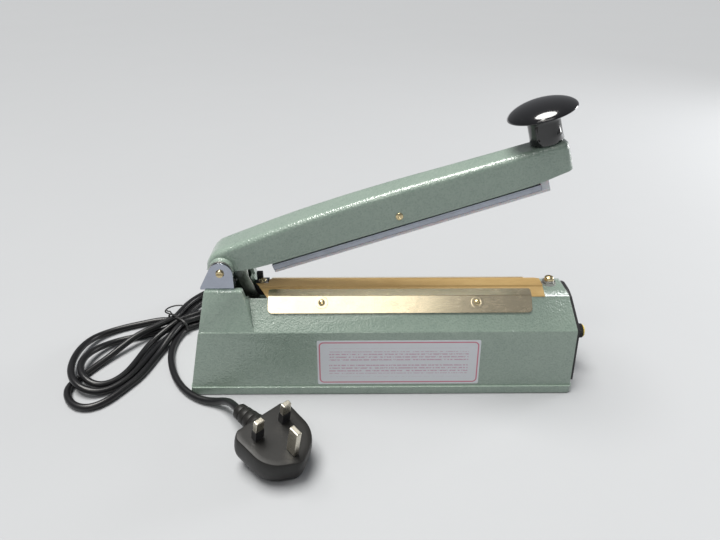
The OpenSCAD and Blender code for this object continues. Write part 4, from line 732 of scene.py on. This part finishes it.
def makeTerminals():
    # the hinge end's angle block with its screw, and the timer end's screw with its slot
    v = {"block": ((-98.4, -2, 69), (-88.8, 9.5, 78.4)), "leg": ((-98.4, 6.4, 70), (-93.6, 9.5, 84.6)),
         "screws": ((-93.4, 3, 79.7, 2.8, 1.3), (131.3, 0, 81.0, 3.6, 3.2)), "shank": 2, "long": 11}
    bm = bmesh.new()
    addBox(bm, *v["block"])
    addBox(bm, *v["leg"])
    piece = settle(bm, "angle_block", panelPlastic, "base", ("left_terminal_block",))
    bevelModifier(piece, 0.4, 2)
    bm = bmesh.new()
    for x, y, z, wide, tall in v["screws"]:
        slot = [(0, 0.72 * tall), (0.28 * wide, 0.72 * tall), (0.3 * wide, tall)]
        shank = [(wide, 0), (v["shank"], 0), (v["shank"], -v["long"]), (0, -v["long"])]
        lathe(bm, slot + crown(wide, tall, 0.45, 20) + shank, 48, Matrix.Translation((x, y, z)))
    cleanUp(bm)
    settle(bm, "terminal_heads", brassy, "base", ("terminal_screws",))


makeTerminals()

bar = {"start": 33.5, "end": 238, "half": 6.2}  # along the arm from its hinge


def makeSilicone():
    # a lip under the bar, its stem in the channel and a taller block at the free end
    s = {"past": 6, "low": -19.7, "seat": -17.42, "top": -9.2, "stem": 4.7, "stemHigh": 3}
    start, end, half = bar["start"], bar["end"], bar["half"]
    bm = bmesh.new()
    addBox(bm, (start, -half, s["low"]), (end + s["past"], half, s["seat"]), toArm)
    addBox(bm, (end + 0.05, -half, s["seat"] - 0.3), (end + s["past"], half, s["top"]), toArm)
    addBox(bm, (start, -s["stem"], s["seat"] - 0.01), (end, s["stem"], s["seat"] + s["stemHigh"]), toArm)
    piece = settle(bm, "silicone_lip", siliconeWhite, "bar", ("silicone_strip",))
    bevelModifier(piece, 0.6, 3)


def makeBar():
    # an open channel with a lug that reaches up to the pivot
    b = {"low": -17.4, "top": -13, "wall": 1.2, "lug": 8, "lugHalf": 3.6, "lap": 0.2, "turns": 24}
    start, end, half = bar["start"], bar["end"], bar["half"]
    s, t = arm["pivot"]
    bm = bmesh.new()
    addBox(bm, (start, -half, b["top"] - b["wall"]), (end, half, b["top"]), toArm)
    for y in (-half, half - b["wall"]):
        addBox(bm, (start, y, b["low"]), (end, y + b["wall"], b["top"] - b["wall"] + b["lap"]), toArm)
    turns = [math.pi * k / b["turns"] for k in range(b["turns"] + 1)]
    arc = [(s - b["lug"] * math.cos(a), t + b["lug"] * math.sin(a)) for a in turns]
    foot = b["top"] - b["lap"]
    outline = [(s - b["lug"], foot)] + arc + [(s + b["lug"], foot)]
    ringFaces(bm, [[toArm @ Vector((x, y, z)) for x, z in outline] for y in (-b["lugHalf"], b["lugHalf"])])
    bmesh.ops.recalc_face_normals(bm, faces=bm.faces)
    bevelModifier(settle(bm, "bar_channel", barAluminium, "bar", ("pressure_bar",)), 0.25, 2)


makeSilicone()
makeBar()


def makePlateScrews():
    # small domed screws and the soft pressed ring round each
    v = {"seat": 1.52, "down": 5.1, "knee": (13.6, 74.4), "shoulder": (32.2, 54), "inset": 3,
         "head": 2.5, "dome": 1.4, "fullness": 0.8, "recess": 0.7, "shank": 1.5, "long": 4, "gap": 0.02,
         "ring": (3.7, 1.2, 0.06)}
    (kneeY, kneeZ), (shoulderY, shoulderZ) = v["knee"], v["shoulder"]
    slope = math.atan2(kneeZ - shoulderZ, shoulderY - kneeY)
    y = kneeY + v["down"] * math.cos(slope) + v["seat"] * math.sin(slope)
    z = kneeZ - v["down"] * math.sin(slope) + v["seat"] * math.cos(slope)
    reach, wide, tall = v["ring"]
    ring = [(reach + wide * math.cos(math.pi * k / 6), tall * math.sin(math.pi * k / 6)) for k in range(7)]
    recess = [(0, v["dome"] * 0.55), (v["recess"], v["dome"] * 0.6), (v["recess"] + 0.25, v["dome"] * 0.97)]
    dome = [(v["head"] * math.sin(math.radians(a)), v["dome"] * math.cos(math.radians(a)) ** v["fullness"])
            for a in range(30, 90, 10)]
    shank = [(v["head"], v["gap"]), (v["shank"], v["gap"]), (v["shank"], -v["long"]), (0, -v["long"])]
    low, high = box("clamp_screws")
    rings, screws = bmesh.new(), bmesh.new()
    for side in (-1, 1):
        for x in (low[0] + v["inset"], high[0] - v["inset"]):
            frameTo = onAxis((x, side * y, z), (0, side * math.sin(slope), math.cos(slope)))
            lathe(rings, ring, 48, frameTo)
            lathe(screws, recess + dome + shank, 40, frameTo)
    cleanUp(rings)
    settle(rings, "plate_rings", plateSteel, "base")
    cleanUp(screws)
    settle(screws, "plate_screws", brassy, "base", ("clamp_screws",))


makePlateScrews()
print("bar and screws made")

# mains plug

plug = {"place": (-69.3, -111.8, 24.8), "turn": -44.5, "tilt": 13.3, "flat": -23.6,
        "circles": ((-3, 0.4, 21.8), (13.4, 0.4, 7.4), (-17, 15.6, 6.8), (-17, -15.6, 6.8)),
        "layers": ((0, -4), (0, -0.6), (-0.1, -0.3), (-0.35, -0.05), (-0.8, 0.1), (-3, 0.5), (-6, 0.7),
                   (-11, 0.7), (-14, 0.4), (-17, -0.2), (-20, -1.3), (-23, -3), (-27, -6), (-32, -10)),
        "rest": 0.02, "hole": (-8.6, -14.6, 0), "holeRim": (1.2, 1.5, 1.8), "rimHigh": 0.12,
        "boot": ((-85.3, -96, 19), (-105, -76.6, 18.6))}
toPlug = (Matrix.Translation(plug["place"]) @ Matrix.Rotation(math.radians(plug["turn"]), 4, "Z")
          @ Matrix.Rotation(math.radians(plug["tilt"]), 4, "Y"))


def plugRing(height, grow, steps=96):
    # the outline round the plug's four corner circles, cut flat at the lead's end
    ring = []
    for k in range(steps):
        turn = 2 * math.pi * k / steps
        way = Vector((math.cos(turn), math.sin(turn)))
        reach = max((Vector((x, y)) + way * r for x, y, r in plug["circles"]), key=way.dot) + way * grow
        ring.append(toPlug @ Vector((max(reach.x, plug["flat"] - grow), reach.y, height)))
    return ring


def makePlug():
    bm = bmesh.new()
    ringFaces(bm, [plugRing(*layer) for layer in plug["layers"]])
    bmesh.ops.recalc_face_normals(bm, faces=bm.faces)
    whole = bm.verts[:] + bm.edges[:] + bm.faces[:]
    cut = bmesh.ops.bisect_plane(
        bm, geom=whole, plane_co=(0, 0, plug["rest"]), plane_no=(0, 0, -1), clear_outer=True)
    edges = [part for part in cut["geom_cut"] if isinstance(part, bmesh.types.BMEdge)]
    bmesh.ops.contextual_create(bm, geom=edges)
    # the raised rim of the screw's hole
    inner, middle, outer = plug["holeRim"]
    rim = [(0, plug["rest"]), (inner, plug["rest"]), (middle, plug["rimHigh"]), (outer, plug["rest"])]
    lathe(bm, rim, 24, toPlug @ Matrix.Translation(plug["hole"]))
    cleanUp(bm)
    return settle(bm, "plug_shell", plugPlastic, "base", ("plug_body",), 40)


def makeBoot():
    # ribs that get narrower toward the lead
    v = {"foot": 3, "wide": 7.6, "ribs": 4, "first": 2.5, "pitch": 6, "taper": 0.55,
         "rib": ((-0.9, -0.5), (-0.2, 0), (0, 0.4), (-0.15, 4.6), (-0.4, 5), (-1.1, 5.3)),
         "tip": ((4.6, -1.2), (3.6, 0), (2.9, 0))}
    start, end = (Vector(point) for point in plug["boot"])
    long = (end - start).length
    profile = [(v["foot"], 0), (v["wide"], 0)]
    for k in range(v["ribs"]):
        at, wide = v["first"] + v["pitch"] * k, v["wide"] - v["taper"] * k
        profile += [(wide + grow, at + on) for grow, on in v["rib"]]
    profile += [(radius, long + on) for radius, on in v["tip"]]
    bm = bmesh.new()
    lathe(bm, profile, 48, onAxis(start, end - start))
    cleanUp(bm)
    return settle(bm, "plug_relief", plugPlastic, "base", ("plug_boot",), 40)


plugPieces = [makePlug(), makeBoot(), softCopy("plug_pins", 0.7), nodes["plug_sleeves"]]
print("plug made")

# label

label = {"left": -50, "right": 75.5, "low": 9, "high": 47, "foot": (39.2, 2), "shoulder": (32.2, 54),
         "off": 0.01, "thick": 0.15, "round": 1.2}


def makeLabelMaterial():
    # "corner" is the border's distance to its corner's middle, the line and row pairs are edges in metres
    c = {"paper": (0.58, 0.60, 0.64), "blendTone": (0.5, 0.53, 0.52), "border": (0.50, 0.12, 0.18),
         "ink": (0.42, 0.14, 0.26), "corner": 0.005, "line": ((0.0026, 0.0028), (0.0038, 0.0036)),
         "margin": (0.009, 0.006), "row": 0.0012, "rowEdge": (0.0006, 0.0004),
         "group": 0.0055, "groupEdge": (0.0012, 0.0015), "marks": 700, "markEdge": (0.42, 0.48)}
    material, tree, inputs, place = newMaterial("plainLabel", Roughness=0.35, Coat_Weight=0.3)
    parts = addNode(tree, "ShaderNodeSeparateXYZ", {0: place}).outputs
    middle = ((label["left"] + label["right"]) / 2 * mm, (label["low"] + label["high"]) / 2 * mm)
    spans = ((label["right"] - label["left"]) / 2 * mm, (label["high"] - label["low"]) / 2 * mm)
    acrossX = sums(tree, "ABSOLUTE", sums(tree, "SUBTRACT", parts[0], middle[0]))
    acrossZ = sums(tree, "ABSOLUTE", sums(tree, "SUBTRACT", parts[2], middle[1]))
    inX = sums(tree, "MAXIMUM", sums(tree, "SUBTRACT", acrossX, spans[0] - c["corner"]), 0.0)
    inZ = sums(tree, "MAXIMUM", sums(tree, "SUBTRACT", acrossZ, spans[1] - c["corner"]), 0.0)
    squares = sums(tree, "ADD", sums(tree, "MULTIPLY", inX, inX), sums(tree, "MULTIPLY", inZ, inZ))
    out = sums(tree, "SQRT", squares)
    border = sums(tree, "MULTIPLY", spread(tree, out, *c["line"][0]), spread(tree, out, *c["line"][1]))
    # rows of unreadable marks in groups, where a label carries its text
    height = sums(tree, "SUBTRACT", parts[2], middle[1])
    rows = spread(tree, sums(tree, "PINGPONG", height, c["row"]), *c["rowEdge"])
    groups = spread(tree, sums(tree, "PINGPONG", height, c["group"]), *c["groupEdge"])
    words = spread(tree, noise(tree, stretch(tree, place, (1, 0, 0.6)), c["marks"], 1.0), *c["markEdge"])
    rule = sums(tree, "MULTIPLY", sums(tree, "MULTIPLY", rows, groups), words)
    inside = sums(tree, "MULTIPLY", sums(tree, "LESS_THAN", acrossX, spans[0] - c["margin"][0]),
                  sums(tree, "LESS_THAN", acrossZ, spans[1] - c["margin"][1]))
    wear = useGroup(tree, mottle, Place=place, Size=0.006)["Value"]
    tone = mixColour(tree, sums(tree, "MULTIPLY", spread(tree, wear, 0.3, 0.7), 0.25), c["paper"], c["blendTone"])
    tone = mixColour(tree, sums(tree, "MULTIPLY", rule, sums(tree, "MULTIPLY", inside, 0.6)), tone, c["ink"])
    tone = mixColour(tree, sums(tree, "MULTIPLY", border, 0.9), tone, c["border"])
    feed(tree, inputs["Base Color"], tone)
    feed(tree, inputs["Roughness"], spread(tree, wear, 0.3, 0.7, 0.28, 0.42))
    return material


def makeLabel():
    v, bm = label, bmesh.new()
    (footY, footZ), (topY, topZ) = v["foot"], v["shoulder"]
    slope = (footY - topY) / (topZ - footZ)

    def onWall(x, z, off):
        return Vector((x, -(footY - slope * (z - footZ)) - off, z))

    left, right, low, high = (v[side] for side in ("left", "right", "low", "high"))
    outline = []
    for x, z, start in ((right, high, 0), (left, high, 90), (left, low, 180), (right, low, 270)):
        cx = x - v["round"] if x == right else x + v["round"]
        cz = z - v["round"] if z == high else z + v["round"]
        angles = [math.radians(start + 15 * k) for k in range(7)]
        outline += [(cx + v["round"] * math.cos(a), cz + v["round"] * math.sin(a)) for a in angles]
    ringFaces(bm, [[onWall(x, z, off) for x, z in outline] for off in (v["off"], v["thick"])])
    cleanUp(bm)
    settle(bm, "front_label", makeLabelMaterial(), "base")


makeLabel()

# the hank's tie: two turns of wire and its twisted ends


def makeTie():
    t = {"place": (-183, 52), "turn": 53, "half": 13.0, "low": 0.9, "high": 13.2, "wire": 0.65,
         "start": -2.8, "advance": 1.7, "steps": 96, "square": (0.6, 0.7),
         "hookFrom": (-2.0, 9.0, 12.8), "stubFrom": (-1.6, 8.0, 13.0),
         "hook": ((-194.6, 57, 13.0), (-196.6, 57, 14.8), (-194.8, 56.5, 17.8), (-190.8, 56, 20.4),
                  (-185.6, 56, 22.0), (-179.5, 56, 22.4)),
         "stub": ((-193.0, 59, 13.6), (-195.5, 61, 12.6), (-198, 62.5, 13.4))}
    across = Matrix.Translation((*t["place"], 0)) @ Matrix.Rotation(math.radians(t["turn"]), 4, "Z")
    middle, tall = (t["low"] + t["high"]) / 2, (t["high"] - t["low"]) / 2
    path = []
    for k in range(t["steps"] + 1):
        a = math.pi / 2 + 4 * math.pi * k / t["steps"]
        c, s = math.cos(a), math.sin(a)
        y = t["half"] * math.copysign(abs(c) ** t["square"][0], c)
        z = middle + tall * math.copysign(abs(s) ** t["square"][1], s)
        path.append(across @ Vector((t["start"] + t["advance"] * k / t["steps"], y, z)))
    # one end hooks up and over, the other is short and lies back
    hook, stub = (smoothPath([across @ Vector(t[name + "From"])] + [Vector(point) for point in t[name]], 5)
                  for name in ("hook", "stub"))
    pieces = [curvePiece(name, points, t["wire"], tiePlastic, 3)
              for name, points in (("tie_turns", path), ("tie_ends", hook), ("tie_stub", stub))]
    for piece in pieces:
        register(piece, "base", ("cord_tie",))
    return pieces


tiePieces = makeTie()
print("label and tie made")

# floor, backdrop and lights

studio = {"floor": (0.38, 0.39, 0.405), "patch": 0.3, "dim": 0.985, "reach": 12.0,
          "world": (0.93, 0.95, 1.0, 1), "sky": 0.22}
lamps = {
    "plateLamp": {"place": (-0.45, -1.15, 1.65), "target": (-0.03, 0, 0.07), "size": (1.5, 0.85),
                  "power": 6.6, "colour": (1.0, 0.98, 0.94)},
    "rimLamp": {"place": (1.3, 0.5, 0.4), "target": (0.1, 0, 0.06), "size": (0.5, 0.5),
                "power": 9, "colour": (1, 1, 1)},
    "glintLamp": {"place": (-0.45, -0.42, 1.5), "target": (0, 0, 0.12), "size": (0.2, 0.2),
                  "power": 2.4, "colour": (1.0, 0.99, 0.94)},
    "sparkLamp": {"place": (-0.62, -1.15, 1.65), "target": (-0.03, 0, 0.07), "size": (0.3, 0.3),
                  "power": 0.8, "colour": (1.0, 0.97, 0.88)}}
sun = {"place": (-0.2, 0.1, 1), "angle": 34, "power": 4.3, "colour": (1.0, 0.985, 0.95)}


def makeStudio(s):
    mesh = bpy.data.meshes.new("floor")
    bm = bmesh.new()
    bmesh.ops.create_grid(bm, x_segments=1, y_segments=1, size=s["reach"])
    bm.to_mesh(mesh)
    bm.free()
    floor = bpy.data.objects.new("floor", mesh)
    bpy.context.scene.collection.objects.link(floor)
    material, tree, inputs, place = newMaterial("paleFloor", Roughness=0.75)
    shade = useGroup(tree, mottle, Place=place, Size=s["patch"])["Value"]
    dimmer = [channel * s["dim"] for channel in s["floor"]]
    feed(tree, inputs["Base Color"], mixColour(tree, spread(tree, shade, 0.3, 0.7), dimmer, s["floor"]))
    mesh.materials.append(material)
    world = bpy.data.worlds.new("studio")
    world.use_nodes = True
    bpy.context.scene.world = world
    background = world.node_tree.nodes["Background"].inputs
    background["Color"].default_value = s["world"]
    background["Strength"].default_value = s["sky"]


def addLight(name, kind, v, turn):
    data = bpy.data.lights.new(name, kind)
    data.energy = v["power"]
    data.color = v["colour"]
    light = bpy.data.objects.new(name, data)
    bpy.context.scene.collection.objects.link(light)
    light.matrix_world = Matrix.Translation(Vector(v["place"])) @ turn.to_matrix().to_4x4()
    return data


def addLamp(name, v):
    data = addLight(name, "AREA", v, (Vector(v["target"]) - Vector(v["place"])).to_track_quat("-Z", "Y"))
    data.shape = "RECTANGLE"
    data.size, data.size_y = v["size"]


makeStudio(studio)
overhead = addLight("overhead", "SUN", sun, Vector(sun["place"]).to_track_quat("Z", "Y"))
overhead.angle = math.radians(sun["angle"])
for name, values in lamps.items():
    addLamp(name, values)

scene = bpy.context.scene
scene.view_settings.view_transform = "Standard"
